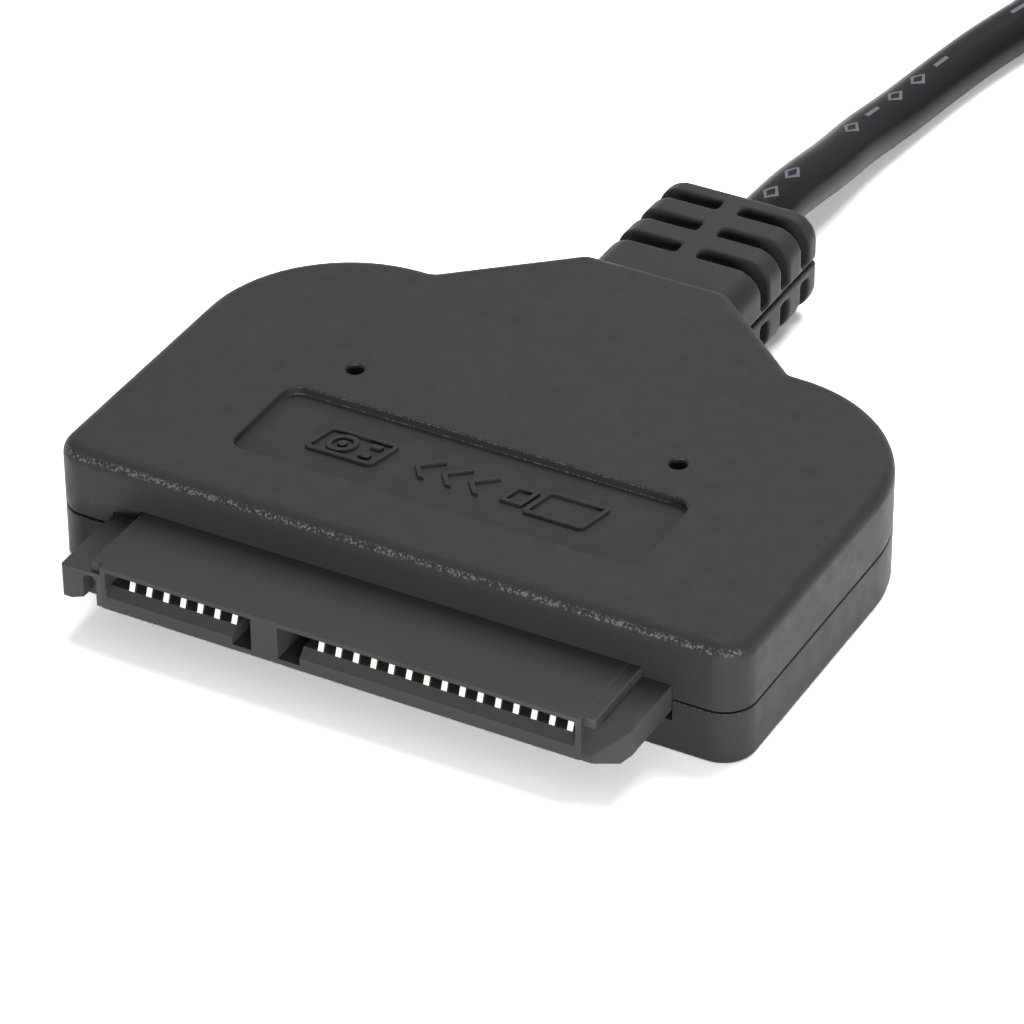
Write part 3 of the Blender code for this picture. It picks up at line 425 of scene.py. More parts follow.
def blend_colour(tree, factor, first, second):
    mix = add_node(tree, "ShaderNodeMix", data_type="RGBA")
    for socket, value in ((mix.inputs[0], factor), (mix.inputs[6], first), (mix.inputs[7], second)):
        if isinstance(value, bpy.types.NodeSocket):
            tree.links.new(value, socket)
        else:
            socket.default_value = value if socket is mix.inputs[0] else (*value, 1.0)
    return mix.outputs[2]


def shade(colour, factor):
    return tuple(min(1.0, channel * factor) for channel in colour)


def product(tree, first, second):
    return add_node(tree, "ShaderNodeMath", {0: first, 1: second}, operation="MULTIPLY").outputs[0]


def dust_specks(tree, place, amount):
    """Small specks that lie in patches."""
    cells = {"Vector": place, "Scale": 1.0 / DUST_SPACING, "Randomness": 1.0}
    distance = add_node(tree, "ShaderNodeTexVoronoi", cells).outputs["Distance"]
    specks = scaled(tree, distance, amount, 0.0, 0.02, 0.05)
    patches = scaled(tree, noise(tree, place, DUST_PATCH, 1.0), 0.0, 1.0, 0.56, 0.60)
    return product(tree, specks, patches)


def painted_rim_glints(tree, place, amount):
    """Painted highlight: bright grains painted into the colour where a surface turns from the top to the
    front.
    """
    cells = {"Vector": place, "Scale": 1.0 / PAINTED_GLINT_SIZE}
    colours = add_node(tree, "ShaderNodeTexVoronoi", cells).outputs["Color"]
    chance = add_node(tree, "ShaderNodeSeparateColor", {"Color": colours}).outputs[0]
    factor = scaled(tree, chance, 0.0, amount, 0.55, 0.90)
    normal = add_node(tree, "ShaderNodeTexCoord").outputs["Normal"]
    parts = add_node(tree, "ShaderNodeSeparateXYZ", {"Vector": normal}).outputs
    for part, low, high in PAINTED_GLINT_RIM:
        factor = product(tree, factor, scaled(tree, parts[part], 0.0, 1.0, low, high))
    return factor


def surface(
    name,
    colour,
    roughness,
    metallic=0.0,
    variation=0.10,
    variation_size=0.008,
    grain_size=0.0,
    grain_height=0.0,
    roughness_spread=0.05,
    dust=0.0,
    edge_paling=0.0,
    painted_glints=0.0,
    specular=0.5,
    stretch=None,
):
    """A solid material with uneven tone, uneven gloss, a fine grain, specks of dust, paler sharp edges and
    painted highlight grains on the rim from top to front.
    """
    material = bpy.data.materials.new(name)
    material.use_nodes = True
    tree = material.node_tree
    shader = tree.nodes["Principled BSDF"]
    shader.inputs["Metallic"].default_value = metallic
    shader.inputs["Specular IOR Level"].default_value = specular
    place = add_node(tree, "ShaderNodeTexCoord").outputs["Object"]
    broad = noise(tree, place, variation_size, 3.0, stretch)
    tint = scaled(tree, broad, 0.0, 1.0, 0.3, 0.7)
    tone = blend_colour(tree, tint, shade(colour, 1 - variation), shade(colour, 1 + variation))
    # paler colour where the mesh's edges are sharp, read from pointiness
    if edge_paling:
        edges = add_node(tree, "ShaderNodeNewGeometry").outputs["Pointiness"]
        edge_pale_mask = scaled(tree, edges, 0.0, edge_paling, 0.52, 0.62)
        tone = blend_colour(tree, edge_pale_mask, tone, shade(colour, EDGE_PALE_SHARE))
    if dust:
        tone = blend_colour(tree, dust_specks(tree, place, dust), tone, DUST)
    # painted highlight: pale grains painted into the colour on the front top rim
    if painted_glints:
        tone = blend_colour(tree, painted_rim_glints(tree, place, painted_glints), tone, PAINTED_GLINT_COLOUR)
    tree.links.new(tone, shader.inputs["Base Color"])
    fine = noise(tree, place, GLOSS_SIZE, 2.0)
    gloss = scaled(tree, fine, roughness - roughness_spread, roughness + roughness_spread, 0.3, 0.7)
    tree.links.new(gloss, shader.inputs["Roughness"])
    if grain_size:
        grain = noise(tree, place, grain_size, 2.0, stretch)
        bump = {"Height": grain, "Strength": 1.0, "Distance": grain_height}
        tree.links.new(add_node(tree, "ShaderNodeBump", bump).outputs[0], shader.inputs["Normal"])
    return material


# Shapes


SMALLEST_RADIUS = 0.00002
LARGEST_SHARE = 0.98


def rounded_outline(corners, inset=0.0, step=math.radians(5)):
    """A counterclockwise outline moved inward by inset, from (x, y, radius) corners, with round corners."""
    points = [Vector((x, y)) for x, y, _ in corners]
    count = len(points)
    lines = []
    for start, end in zip(points, points[1:] + points[:1]):
        along = (end - start).normalized()
        inward = Vector((-along.y, along.x))
        lines.append((start + inward * inset, along))
    moved = []
    turns = []
    for i in range(count):
        (a, along_a), (b, along_b) = lines[i - 1], lines[i]
        across = along_a.cross(along_b)
        moved.append(a + along_a * ((b - a).cross(along_b) / across))
        turns.append(math.atan2(across, along_a.dot(along_b)))
    setbacks = []
    shares = [1.0] * count
    for i in range(count):
        radius = corners[i][2] - math.copysign(inset, turns[i])
        setbacks.append(max(radius, SMALLEST_RADIUS) * math.tan(abs(turns[i]) / 2))
    for i in range(count):
        j = (i + 1) % count
        wanted = setbacks[i] + setbacks[j]
        room = (moved[j] - moved[i]).length * LARGEST_SHARE
        if wanted > room:
            shares[i] = min(shares[i], room / wanted)
            shares[j] = min(shares[j], room / wanted)
    outline = []
    for i in range(count):
        turn = turns[i]
        setback = setbacks[i] * shares[i]
        radius = setback / math.tan(abs(turn) / 2)
        begin = moved[i] - lines[i - 1][1] * setback
        side = Vector((-lines[i - 1][1].y, lines[i - 1][1].x)) * math.copysign(1.0, turn)
        centre = begin + side * radius
        pieces = max(2, math.ceil(abs(turn) / step))
        for k in range(pieces + 1):
            swing = Matrix.Rotation(turn * k / pieces, 2)
            outline.append(tuple(centre + swing @ (begin - centre)))
    return outline


def rectangle(x0, x1, y0, y1, radius=0.0, inset=0.0, step=math.radians(10)):
    corners = ((x0, y0, radius), (x1, y0, radius), (x1, y1, radius), (x0, y1, radius))
    return rounded_outline(corners, inset, step)


def body_outline(inset=0.0):
    """Plan of the body: square front, round shoulders and a neck that narrows to the strain relief."""
    right = (
        (BODY_HALF, BODY_FRONT, CORNER_RADIUS),
        (BODY_HALF, SHOULDER, SHOULDER_RADIUS),
        (NECK_START_HALF, SHOULDER, NECK_INNER_RADIUS),
        (NECK_END_HALF, BODY_BACK, NECK_OUTER_RADIUS),
    )
    left = tuple((-x, y, radius) for x, y, radius in reversed(right))
    return rounded_outline(right + left, inset)


def new_mesh(name, shape):
    bmesh.ops.recalc_face_normals(shape, faces=shape.faces)
    mesh = bpy.data.meshes.new(name)
    shape.to_mesh(mesh)
    shape.free()
    return mesh


def loft_mesh(name, rings):
    """A closed solid through rings of equal point counts, with a face at each end."""
    shape = bmesh.new()
    rows = [[shape.verts.new(point) for point in ring] for ring in rings]
    count = len(rows[0])
    for low, high in zip(rows, rows[1:]):
        for i in range(count):
            j = (i + 1) % count
            shape.faces.new((low[i], low[j], high[j], high[i]))
    shape.faces.new(rows[0][::-1])
    shape.faces.new(rows[-1])
    return new_mesh(name, shape)


def quarter_steps(count):
    return [math.pi / 2 * k / count for k in range(count + 1)]


def rounded_levels(low, high, low_round, high_round, steps=8):
    """(level, inset) pairs of a wall from low to high whose two rims are rounded."""
    turns = quarter_steps(steps)
    first = [(low + low_round * (1 - math.cos(a)), low_round * (1 - math.sin(a))) for a in turns]
    last = [(high - high_round * (1 - math.sin(a)), high_round * (1 - math.cos(a))) for a in turns]
    return first + last


def softened_levels(low, high):
    """As rounded_levels, with the connector's small round at both rims."""
    return rounded_levels(low, high, CONNECTOR_EDGE, CONNECTOR_EDGE, 3)


def flared_levels(low, high, low_round, edge):
    """(level, inset) pairs of a pocket's cutter: a rounded floor and a mouth that flares at the surface."""
    turns = quarter_steps(4)
    floor = [(low + low_round * (1 - math.cos(a)), low_round * (1 - math.sin(a))) for a in turns]
    mouth = [(high - edge * (1 - math.sin(a)), -edge * (1 - math.cos(a))) for a in turns]
    return floor + mouth + [(high + THROUGH, -edge)]


def upright_loft(name, outline_at, levels):
    rings = [[(x, y, level) for x, y in outline_at(inset)] for level, inset in levels]
    return loft_mesh(name, rings)


def lengthwise_loft(name, outline_at, levels):
    """As upright_loft, for an outline in X and Z that runs along Y."""
    rings = [[(x, level, z) for x, z in outline_at(inset)] for level, inset in levels]
    return loft_mesh(name, rings)


def plate_mesh(name, outlines, low, high, axis="Z", edge=0.0):
    """Closed outlines filled and extruded from low to high along an axis, with rims softened by edge."""
    curve = bpy.data.curves.new(name, "CURVE")
    curve.dimensions = "2D"
    curve.fill_mode = "BOTH"
    curve.extrude = (high - low) / 2 - edge
    curve.bevel_depth = edge
    curve.bevel_resolution = 2
    curve.offset = -edge
    for outline in outlines:
        spline = curve.splines.new("POLY")
        spline.points.add(len(outline) - 1)
        for point, (u, v) in zip(spline.points, outline):
            point.co = (u, v, 0.0, 1.0)
        spline.use_cyclic_u = True
    guide = bpy.data.objects.new(name, curve)
    bpy.context.scene.collection.objects.link(guide)
    evaluated = guide.evaluated_get(bpy.context.evaluated_depsgraph_get())
    mesh = bpy.data.meshes.new_from_object(evaluated)
    bpy.data.objects.remove(guide, do_unlink=True)
    turn = {
        "Z": Matrix.Identity(4),
        "Y": Matrix(((1, 0, 0, 0), (0, 0, -1, 0), (0, 1, 0, 0), (0, 0, 0, 1))),
        "X": Matrix(((0, 0, 1, 0), (1, 0, 0, 0), (0, 1, 0, 0), (0, 0, 0, 1))),
    }[axis]
    middle = (low + high) / 2 * (-1 if axis == "Y" else 1)
    mesh.transform(turn @ Matrix.Translation((0, 0, middle)))
    shape = bmesh.new()
    shape.from_mesh(mesh)
    bmesh.ops.remove_doubles(shape, verts=shape.verts, dist=1e-7)
    bpy.data.meshes.remove(mesh)
    return new_mesh(name, shape)


def box_mesh(name, low, high):
    shape = bmesh.new()
    bmesh.ops.create_cube(shape, size=1.0)
    bmesh.ops.scale(shape, vec=Vector(high) - Vector(low), verts=shape.verts)
    bmesh.ops.translate(shape, vec=(Vector(high) + Vector(low)) / 2, verts=shape.verts)
    return new_mesh(name, shape)


def circle(x, y, radius, sides=36):
    turns = [math.tau * k / sides for k in range(sides)]
    return [(x + radius * math.cos(a), y + radius * math.sin(a)) for a in turns]


def turned_mesh(name, profile, sides=36):
    """A closed solid turned about Z from (radius, height) points, bottom to top."""
    rings = [[(x, y, z) for x, y in circle(0.0, 0.0, radius, sides)] for radius, z in profile]
    return loft_mesh(name, rings)


def lengthwise_turned(name, profile, place, sides=36):
    """As turned_mesh, turned about a line along Y through a place."""
    mesh = turned_mesh(name, profile, sides)
    mesh.transform(Matrix.Translation(place) @ Matrix.Rotation(math.radians(-90), 4, "X"))
    return mesh


def piece(name, mesh, material, replaces=(), sharp=32.0):
    """A visible piece that rides on the adapter, with round forms shaded smooth."""
    item = bpy.data.objects.new(name, mesh)
    bpy.context.scene.collection.objects.link(item)
    mesh.materials.clear()
    mesh.materials.append(material)
    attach(item, "root")
    if replaces:
        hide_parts(*replaces)
    smooth(item, sharp)
    return item


def smooth(item, sharp):
    item.data.shade_smooth()
    item.data.set_sharp_from_angle(angle=math.radians(sharp))


def flatten(item, sharp):
    """As smooth, with normals that follow the large faces, so that flat ones show no gradient."""
    smooth(item, sharp)
    weighted = item.modifiers.new("normals", "WEIGHTED_NORMAL")
    weighted.mode = "FACE_AREA"
    weighted.weight = 90
    weighted.keep_sharp = True
    bake(item)


def boolean(item, mesh, operation):
    """Cuts a mesh from an object, or joins it on, and keeps only the result."""
    tool = bpy.data.objects.new("tool", mesh)
    bpy.context.scene.collection.objects.link(tool)
    modifier = item.modifiers.new("shape", "BOOLEAN")
    modifier.operation = operation
    modifier.solver = "EXACT"
    modifier.object = tool
    bake(item)
    bpy.data.objects.remove(tool, do_unlink=True)


def bake(item):
    """Applies an object's modifiers to its mesh."""
    evaluated = item.evaluated_get(bpy.context.evaluated_depsgraph_get())
    mesh = bpy.data.meshes.new_from_object(evaluated)
    item.modifiers.clear()
    item.data = mesh


def cut(item, mesh):
    boolean(item, mesh, "DIFFERENCE")


def join(item, mesh):
    boolean(item, mesh, "UNION")


# Cable


def smooth_line(points, spacing):
    """Points at even steps along a Catmull-Rom curve through the route's points."""
    route = [Vector(p) for p in points]
    route = [route[0] * 2 - route[1]] + route + [route[-1] * 2 - route[-2]]
    parts = 16
    dense = []
    for a, b, c, d in zip(route, route[1:], route[2:], route[3:]):
        bend = 2 * a - 5 * b + 4 * c - d
        twist = 3 * b - a - 3 * c + d
        for t in (k / parts for k in range(parts)):
            dense.append((2 * b + (c - a) * t + bend * t**2 + twist * t**3) / 2)
    dense.append(route[-2])
    lengths = [0.0]
    for before, after in zip(dense, dense[1:]):
        lengths.append(lengths[-1] + (after - before).length)
    count = max(2, round(lengths[-1] / spacing))
    line = []
    k = 0
    for i in range(count + 1):
        target = lengths[-1] * i / count
        while k < len(lengths) - 2 and lengths[k + 1] < target:
            k += 1
        share = (target - lengths[k]) / (lengths[k + 1] - lengths[k])
        line.append(dense[k].lerp(dense[k + 1], share))
    return line


def ease(value):
    value = min(max(value, 0.0), 1.0)
    return value * value * (3 - 2 * value)


def coil_points():
    """Two turns on the floor from the outside in, then a layer on top of them from the inside out."""
    turns = COIL_LOWER_TURNS + COIL_UPPER_TURNS
    count = round(turns * COIL_STEPS_PER_TURN)
    points = []
    for i in range(count + 1):
        turn = turns * i / count
        angle = COIL_START_ANGLE - math.tau * turn
        across = min(turn, 2 * COIL_LOWER_TURNS - turn) * CABLE_DIAMETER
        radius = COIL_START_RADIUS - across
        climb = ease((turn - COIL_CLIMB_START) / COIL_CLIMB_TURNS)
        away = abs((angle - TIE_ANGLE + math.pi) % math.tau - math.pi)
        lift = TIE_THICKNESS * ease(1 - away / TIE_REACH)
        x = COIL_CENTRE[0] + radius * math.cos(angle)
        y = COIL_CENTRE[1] + radius * math.sin(angle)
        points.append((x, y, CABLE_DIAMETER * (0.5 + climb) + lift))
    return points


def cable_frame(before, after):
    along = (after - before).normalized()
    side = along.cross(Vector((0, 0, 1))).normalized()
    return along, side, side.cross(along)


def cable_frames(line):
    ends = [line[0] * 2 - line[1]] + line + [line[-1] * 2 - line[-2]]
    return [cable_frame(before, after) for before, after in zip(ends, ends[2:])]


def tube_mesh(name, line, radius, sides):
    frames = cable_frames(line)
    angles = [math.tau * k / sides for k in range(sides)]
    rings = []
    for point, (_, side, up) in zip(line, frames):
        rings.append([point + (side * math.cos(a) + up * math.sin(a)) * radius for a in angles])
    return loft_mesh(name, rings)


def make_cable(material):
    """The whole cable in one piece: out of the strain relief, along the floor, into the coil and the plug."""
    route = [CABLE_START, CABLE_EXIT, *CABLE_ROUTE, *coil_points(), *LEAD_ROUTE]
    line = smooth_line(route, CABLE_STEP)
    for point in line:
        point.z = max(point.z, CABLE_DIAMETER / 2)
    cable = piece(
        "cable",
        tube_mesh("cable", line, CABLE_DIAMETER / 2, CABLE_SIDES),
        material,
        ("cable_run", "cable_coil", "cable_lead"),
        sharp=60.0,
    )
    return cable, line


def mark_loop(kind):
    """Inner and outer outline of one plain mark, in metres along the cable and round it."""
    inner, outer = MARK_SIZES[kind]
    loops = []
    for along, around in (inner, outer):
        corners = [(along, 0.0), (0.0, around), (-along, 0.0), (0.0, -around)]
        if kind == "dash":
            corners = [(along, around), (-along, around), (-along, -around), (along, -around)]
        loop = []
        for (u0, v0), (u1, v1) in zip(corners, corners[1:] + corners[:1]):
            steps = [k / MARK_SIDE_STEPS for k in range(MARK_SIDE_STEPS)]
            loop += [(u0 + (u1 - u0) * t, v0 + (v1 - v0) * t) for t in steps]
        loops.append(loop)
    return loops


def jacket_point(line, frames, along, around):
    """The point on the jacket at a distance along the cable, and round it from its printed side."""
    place = min(along / CABLE_STEP, len(line) - 2)
    k = int(place)
    centre = line[k].lerp(line[k + 1], place - k)
    _, side, up = frames[k]
    radius = CABLE_DIAMETER / 2 + MARK_LIFT
    angle = MARK_TURN + around / radius
    return centre + (up * math.cos(angle) - side * math.sin(angle)) * radius


def make_cable_marks(line, material):
    """Plain diamonds and strokes printed along one side of the cable."""
    frames = cable_frames(line)
    shape = bmesh.new()
    total = (len(line) - 1) * CABLE_STEP
    offset = 0.0
    while offset + MARK_ROWS[-1][0] + MARK_HALF < total:
        for start, kind in MARK_ROWS:
            inner, outer = (
                [shape.verts.new(jacket_point(line, frames, start + offset + u, v)) for u, v in loop]
                for loop in mark_loop(kind)
            )
            for i in range(len(inner)):
                j = (i + 1) % len(inner)
                shape.faces.new((inner[i], outer[i], outer[j], inner[j]))
        offset += MARK_REPEAT
    mesh = bpy.data.meshes.new("cable_marks")
    shape.to_mesh(mesh)
    shape.free()
    return piece("cable_marks", mesh, material, sharp=60.0)


# Body


def cut_openings(shell):
    """Openings of the front wall, round the connector, and of the rear wall, round the strain relief."""
    front = BODY_FRONT - THROUGH
    back = BODY_FRONT + WALL + THROUGH
    low = BLOCK_LOW - OPENING_GAP
    block = RIB_HALF + OPENING_GAP
    arms = ARM_REACH + OPENING_GAP
    cut(shell, box_mesh("opening", (-block, front, low), (block, back, BLOCK_HIGH + OPENING_GAP)))
    cut(shell, box_mesh("opening", (-arms, front, low), (arms, back, ARM_HIGH + OPENING_GAP)))
    half = BOOT_NECK_HALF + FIT_GAP
    tall = BOOT_NECK_TALL + FIT_GAP
    neck = rectangle(-half, half, BOOT_MIDDLE - tall, BOOT_MIDDLE + tall, BOOT_OPENING_RADIUS)
    cut(shell, plate_mesh("opening", [neck], BODY_BACK - WALL - THROUGH, BODY_BACK + THROUGH, "Y"))


def slanted(outline):
    return [(x + (y - SYMBOL_MIDDLE) * SYMBOL_SLANT, y) for x, y in outline]


def sign_frame(span, tall, radius):
    """The outer and inner outline of a frame, one stroke wide."""
    sides = (*span, SYMBOL_MIDDLE - tall, SYMBOL_MIDDLE + tall, radius)
    return [rectangle(*sides), rectangle(*sides, inset=SYMBOL_STROKE)]


def arrow_head(x):
    back = x + ARROW_STROKE
    low = SYMBOL_MIDDLE - ARROW_REACH
    high = SYMBOL_MIDDLE + ARROW_REACH
    tip = (x - ARROW_REACH, SYMBOL_MIDDLE)
    notch = (back - ARROW_REACH, SYMBOL_MIDDLE)
    return [(x, low), (back, low), notch, (back, high), (x, high), tip]


def symbol_outlines():
    """Plain raised signs in the recess: a plug, three arrow heads and a disc drive, as groups of outlines."""
    rim, hole, hub = (
        circle(DISC_CENTRE, SYMBOL_MIDDLE, radius, 40)
        for radius in (DISC_RADIUS, DISC_RADIUS - SYMBOL_STROKE, DISC_HUB_RADIUS)
    )
    groups = [
        sign_frame(PLUG_SIGN, SYMBOL_HALF, PLUG_SIGN_RADIUS),
        sign_frame(PLUG_TIP, PLUG_TIP_HALF, PLUG_TIP_RADIUS),
        *([arrow_head(x)] for x in ARROW_HEADS),
        sign_frame(DISC_SIGN, SYMBOL_HALF, DISC_SIGN_RADIUS),
        [rim, hole],
        [hub],
    ]
    for ends in DISC_BAR_ENDS:
        low, high = (SYMBOL_MIDDLE + SYMBOL_HALF * end for end in ends)
        groups.append([rectangle(*DISC_BAR, low, high, DISC_BAR_RADIUS)])
    return [[slanted(outline) for outline in group] for group in groups]


def make_top_shell(material):
    low = SEAM_HEIGHT + SEAM_GAP / 2
    levels = rounded_levels(low, BODY_TOP, SEAM_EDGE, TOP_ROUND)
    mesh = upright_loft("top_shell", body_outline, levels)
    shell = piece("top_shell", mesh, material)
    roof = BODY_TOP - ROOF
    cavity = [(low - THROUGH, WALL), (roof - CAVITY_EDGE, WALL), (roof, WALL + CAVITY_EDGE)]
    cut(shell, upright_loft("cavity", body_outline, cavity))
    rebate = [(low - THROUGH, LIP_INSET - FIT_GAP), (LIP_TOP + FIT_GAP, LIP_INSET - FIT_GAP)]
    cut(shell, upright_loft("rebate", body_outline, rebate))

    def recess_outline(inset):
        return rectangle(-RECESS_HALF, RECESS_HALF, RECESS_FRONT, RECESS_BACK, RECESS_RADIUS, inset)

    base = BODY_TOP - RECESS_DEPTH
    recess = flared_levels(base, BODY_TOP, RECESS_EDGE, RECESS_EDGE)
    cut(shell, upright_loft("recess", recess_outline, recess))
    for group in symbol_outlines():
        join(shell, plate_mesh("symbol", group, base - SYMBOL_ROOT, base + SYMBOL_HEIGHT, edge=SYMBOL_EDGE))
    for side in (-1, 1):
        profile = [
            (HOLE_RADIUS, -ROOF - THROUGH),
            (HOLE_RADIUS, -HOLE_FLARE),
            (HOLE_RADIUS + HOLE_FLARE / 3, -HOLE_FLARE * 5 / 12),
            (HOLE_RADIUS + HOLE_FLARE, 0.0),
            (HOLE_RADIUS + HOLE_FLARE, THROUGH),
        ]
        hole = turned_mesh("hole", profile, 32)
        hole.transform(Matrix.Translation((side * HOLE_X, HOLE_Y, BODY_TOP)))
        cut(shell, hole)
    cut_openings(shell)
    flatten(shell, 32.0)
    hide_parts("top_cover")


def make_bottom_shell(material):
    seam = SEAM_HEIGHT - SEAM_GAP / 2
    levels = rounded_levels(0.0, seam, BOTTOM_ROUND, SEAM_EDGE)
    mesh = upright_loft("bottom_shell", body_outline, levels)
    shell = piece("bottom_shell", mesh, material)
    cavity = [(FLOOR_WALL, WALL + CAVITY_EDGE), (FLOOR_WALL + CAVITY_EDGE, WALL), (seam + THROUGH, WALL)]
    cut(shell, upright_loft("cavity", body_outline, cavity))
    lip = [body_outline(LIP_INSET), body_outline(WALL)]
    join(shell, plate_mesh("lip", lip, seam - LIP_ROOT, LIP_TOP))
    cut_openings(shell)
    flatten(shell, 32.0)
    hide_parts("bottom_cover")


# Drive connector


def slot_outline(left, right, key):
    if key[0] > left:
        return [
            (left, SLOT_BOTTOM), (key[0], SLOT_BOTTOM), (key[0], SLOT_FOOT),
            (right, SLOT_FOOT), (right, SLOT_TOP), (left, SLOT_TOP),
        ]
    return [
        (left, SLOT_FOOT), (key[1], SLOT_FOOT), (key[1], SLOT_BOTTOM),
        (right, SLOT_BOTTOM), (right, SLOT_TOP), (left, SLOT_TOP),
    ]


def contact_span(label, count):
    low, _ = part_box(f"{label}_contact_1")
    _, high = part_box(f"{label}_contact_{count}")
    return low, high


def cut_slots(housing):
    """The two keyed slots, whose lower lips slope at the mouth."""
    front = CONNECTOR_FACE - THROUGH
    slope = [
        (front, SLOT_BOTTOM - SLOT_LIP - THROUGH),
        (CONNECTOR_FACE + SLOT_LIP, SLOT_BOTTOM),
        (CONNECTOR_FACE + SLOT_LIP, SLOT_BOTTOM + FIT_GAP),
        (front, SLOT_BOTTOM + FIT_GAP),
    ]
    for (left, right), key in ((SIGNAL_SLOT, SIGNAL_KEY), (POWER_SLOT, POWER_KEY)):
        cut(housing, plate_mesh("slot", [slot_outline(left, right, key)], front, SLOT_BACK, "Y"))
        cut(housing, plate_mesh("lip", [slope], left + HAIR, right - HAIR, "X"))


def add_ear(housing, root, back):
    """The guide ear at the left, with a pocket between it and the block that is open in front and below."""
    front = CONNECTOR_FACE + HAIR

    def plan(inset):
        corners = (
            (-ARM_REACH, front, EAR_CORNER),
            (-root, front, 0.0),
            (-root, back, 0.0),
            (-ARM_REACH, back, 0.0),
        )
        return rounded_outline(corners, inset)

    levels = softened_levels(BLOCK_LOW + HAIR, ARM_HIGH)
    join(housing, upright_loft("ear", plan, levels))
    left, right = EAR_POCKET
    low = BLOCK_LOW - FIT_GAP
    pocket = rounded_outline((
        (left, BLOCK_LOW + EAR_TOE_RISE, 0.0),
        (-ARM_REACH + EAR_TOE, BLOCK_LOW, 0.0),
        (-ARM_REACH + EAR_TOE, low, 0.0),
        (right, low, 0.0),
        (right, EAR_POCKET_TOP, EAR_POCKET_RADIUS),
        (left, EAR_POCKET_TOP, EAR_POCKET_RADIUS),
    ))
    end = CONNECTOR_FACE + EAR_POCKET_DEPTH
    cut(housing, plate_mesh("pocket", [pocket], CONNECTOR_FACE - THROUGH, end, "Y"))


def add_arm(housing, root, back):
    """The arm at the right: a tip cut off at a slant, a sloping lead at its front and a chamfer below."""
    front = CONNECTOR_FACE + HAIR

    def plan(inset):
        corners = (
            (root, back, 0.0),
            (root, front, 0.0),
            (ARM_TIP_REACH, front, EAR_CORNER),
            (ARM_REACH, front + ARM_TIP, EAR_CORNER),
            (ARM_REACH, back, 0.0),
        )
        return rounded_outline(corners, inset)

    levels = softened_levels(BLOCK_LOW + HAIR, ARM_HIGH)
    arm = bpy.data.objects.new("arm", upright_loft("arm", plan, levels))
    bpy.context.scene.collection.objects.link(arm)
    rise = (ARM_HIGH - BLOCK_LOW - ARM_LEAD_BASE) / ARM_LEAD_LENGTH
    before = CONNECTOR_FACE - FIT_GAP
    after = CONNECTOR_FACE + ARM_LEAD_LENGTH + FIT_GAP
    lead = [
        (before, BLOCK_LOW + ARM_LEAD_BASE - FIT_GAP * rise),
        (after, ARM_HIGH + FIT_GAP * rise),
        (before, ARM_HIGH + FIT_GAP * rise),
    ]
    cut(arm, plate_mesh("lead", [lead], root - THROUGH, ARM_REACH + THROUGH, "X"))
    chamfer = [
        (ARM_REACH - ARM_CHAMFER - FIT_GAP, BLOCK_LOW - FIT_GAP),
        (ARM_REACH + FIT_GAP, BLOCK_LOW - FIT_GAP),
        (ARM_REACH + FIT_GAP, BLOCK_LOW + ARM_CHAMFER + FIT_GAP),
    ]
    cut(arm, plate_mesh("chamfer", [chamfer], CONNECTOR_FACE - THROUGH, FLANGE_FRONT - FIT_GAP, "Y"))
    join(housing, arm.data)
    bpy.data.objects.remove(arm, do_unlink=True)


def add_rib(housing, side, back):
    """A low strip along one side of the block's top, a hair below it."""

    def section(inset):
        x0, x1 = sorted((side * (BLOCK_HALF - FIT_GAP), side * RIB_HALF))
        return rectangle(x0, x1, RIB_LOW - 3 * HAIR, BLOCK_HIGH - HAIR, CONNECTOR_EDGE * 2, inset)

    levels = softened_levels(CONNECTOR_FACE + RIB_SETBACK, back)
    join(housing, lengthwise_loft("rib", section, levels))


def make_connector(material):
    """The block with its two slots, the ribs beside its top, the guide ear, the arm and the flange behind."""
    back = FLANGE_BACK - FIT_GAP

    def section(inset):
        return rectangle(-BLOCK_HALF, BLOCK_HALF, BLOCK_LOW, BLOCK_HIGH, CONNECTOR_EDGE * 2, inset)

    levels = softened_levels(CONNECTOR_FACE, CONNECTOR_BACK)
    block = lengthwise_loft("drive_connector", section, levels)
    housing = piece("drive_connector", block, material)
    for side in (-1, 1):
        add_rib(housing, side, back)
    root = BLOCK_HALF - FIT_GAP
    add_ear(housing, root, back)
    add_arm(housing, root, back)
    cut_slots(housing)
    for label, count in (("signal", 7), ("power", 15)):
        low, high = contact_span(label, count)
        start = (low.x - FIT_GAP, SLOT_BACK - FIT_GAP * 2, SLOT_TOP - PASSAGE_HEIGHT)
        end = (high.x + FIT_GAP, CONNECTOR_BACK + THROUGH, SLOT_TOP - HAIR)
        cut(housing, box_mesh("passage", start, end))
    flange_low = (-FLANGE_HALF, FLANGE_FRONT, HOUSING_LOW.z)
    join(housing, box_mesh("flange", flange_low, (FLANGE_HALF, FLANGE_BACK, HOUSING_HIGH.z)))
    flatten(housing, 32.0)
    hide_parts("sata_housing")


# Strain relief


def boot_window(y0, y1, side, level):
    """A window between two ribs in one quarter of the strain relief, with a rounded end at the spine."""
    out_x = BOOT_HALF + THROUGH
    out_z = BOOT_HIGH.z - BOOT_MIDDLE + THROUGH
    bend = BOOT_CORE_TALL - BOOT_WEB
    arc = [math.radians(9 * k) for k in range(11)]
    inside = [
        (BOOT_CORE_HALF - bend + bend * math.cos(a), BOOT_WEB + bend * math.sin(a)) for a in arc
    ]
    quarter = [(out_x, BOOT_WEB), (out_x, out_z), (BOOT_SPINE, out_z), (BOOT_SPINE, BOOT_CORE_TALL)]
    outline = [(side * x, BOOT_MIDDLE + level * z) for x, z in quarter + inside[::-1]]
    return plate_mesh("window", [outline], y0, y1, "Y")


def boot_section(half, tall, radius):
    return rectangle(-half, half, BOOT_MIDDLE - tall, BOOT_MIDDLE + tall, radius)


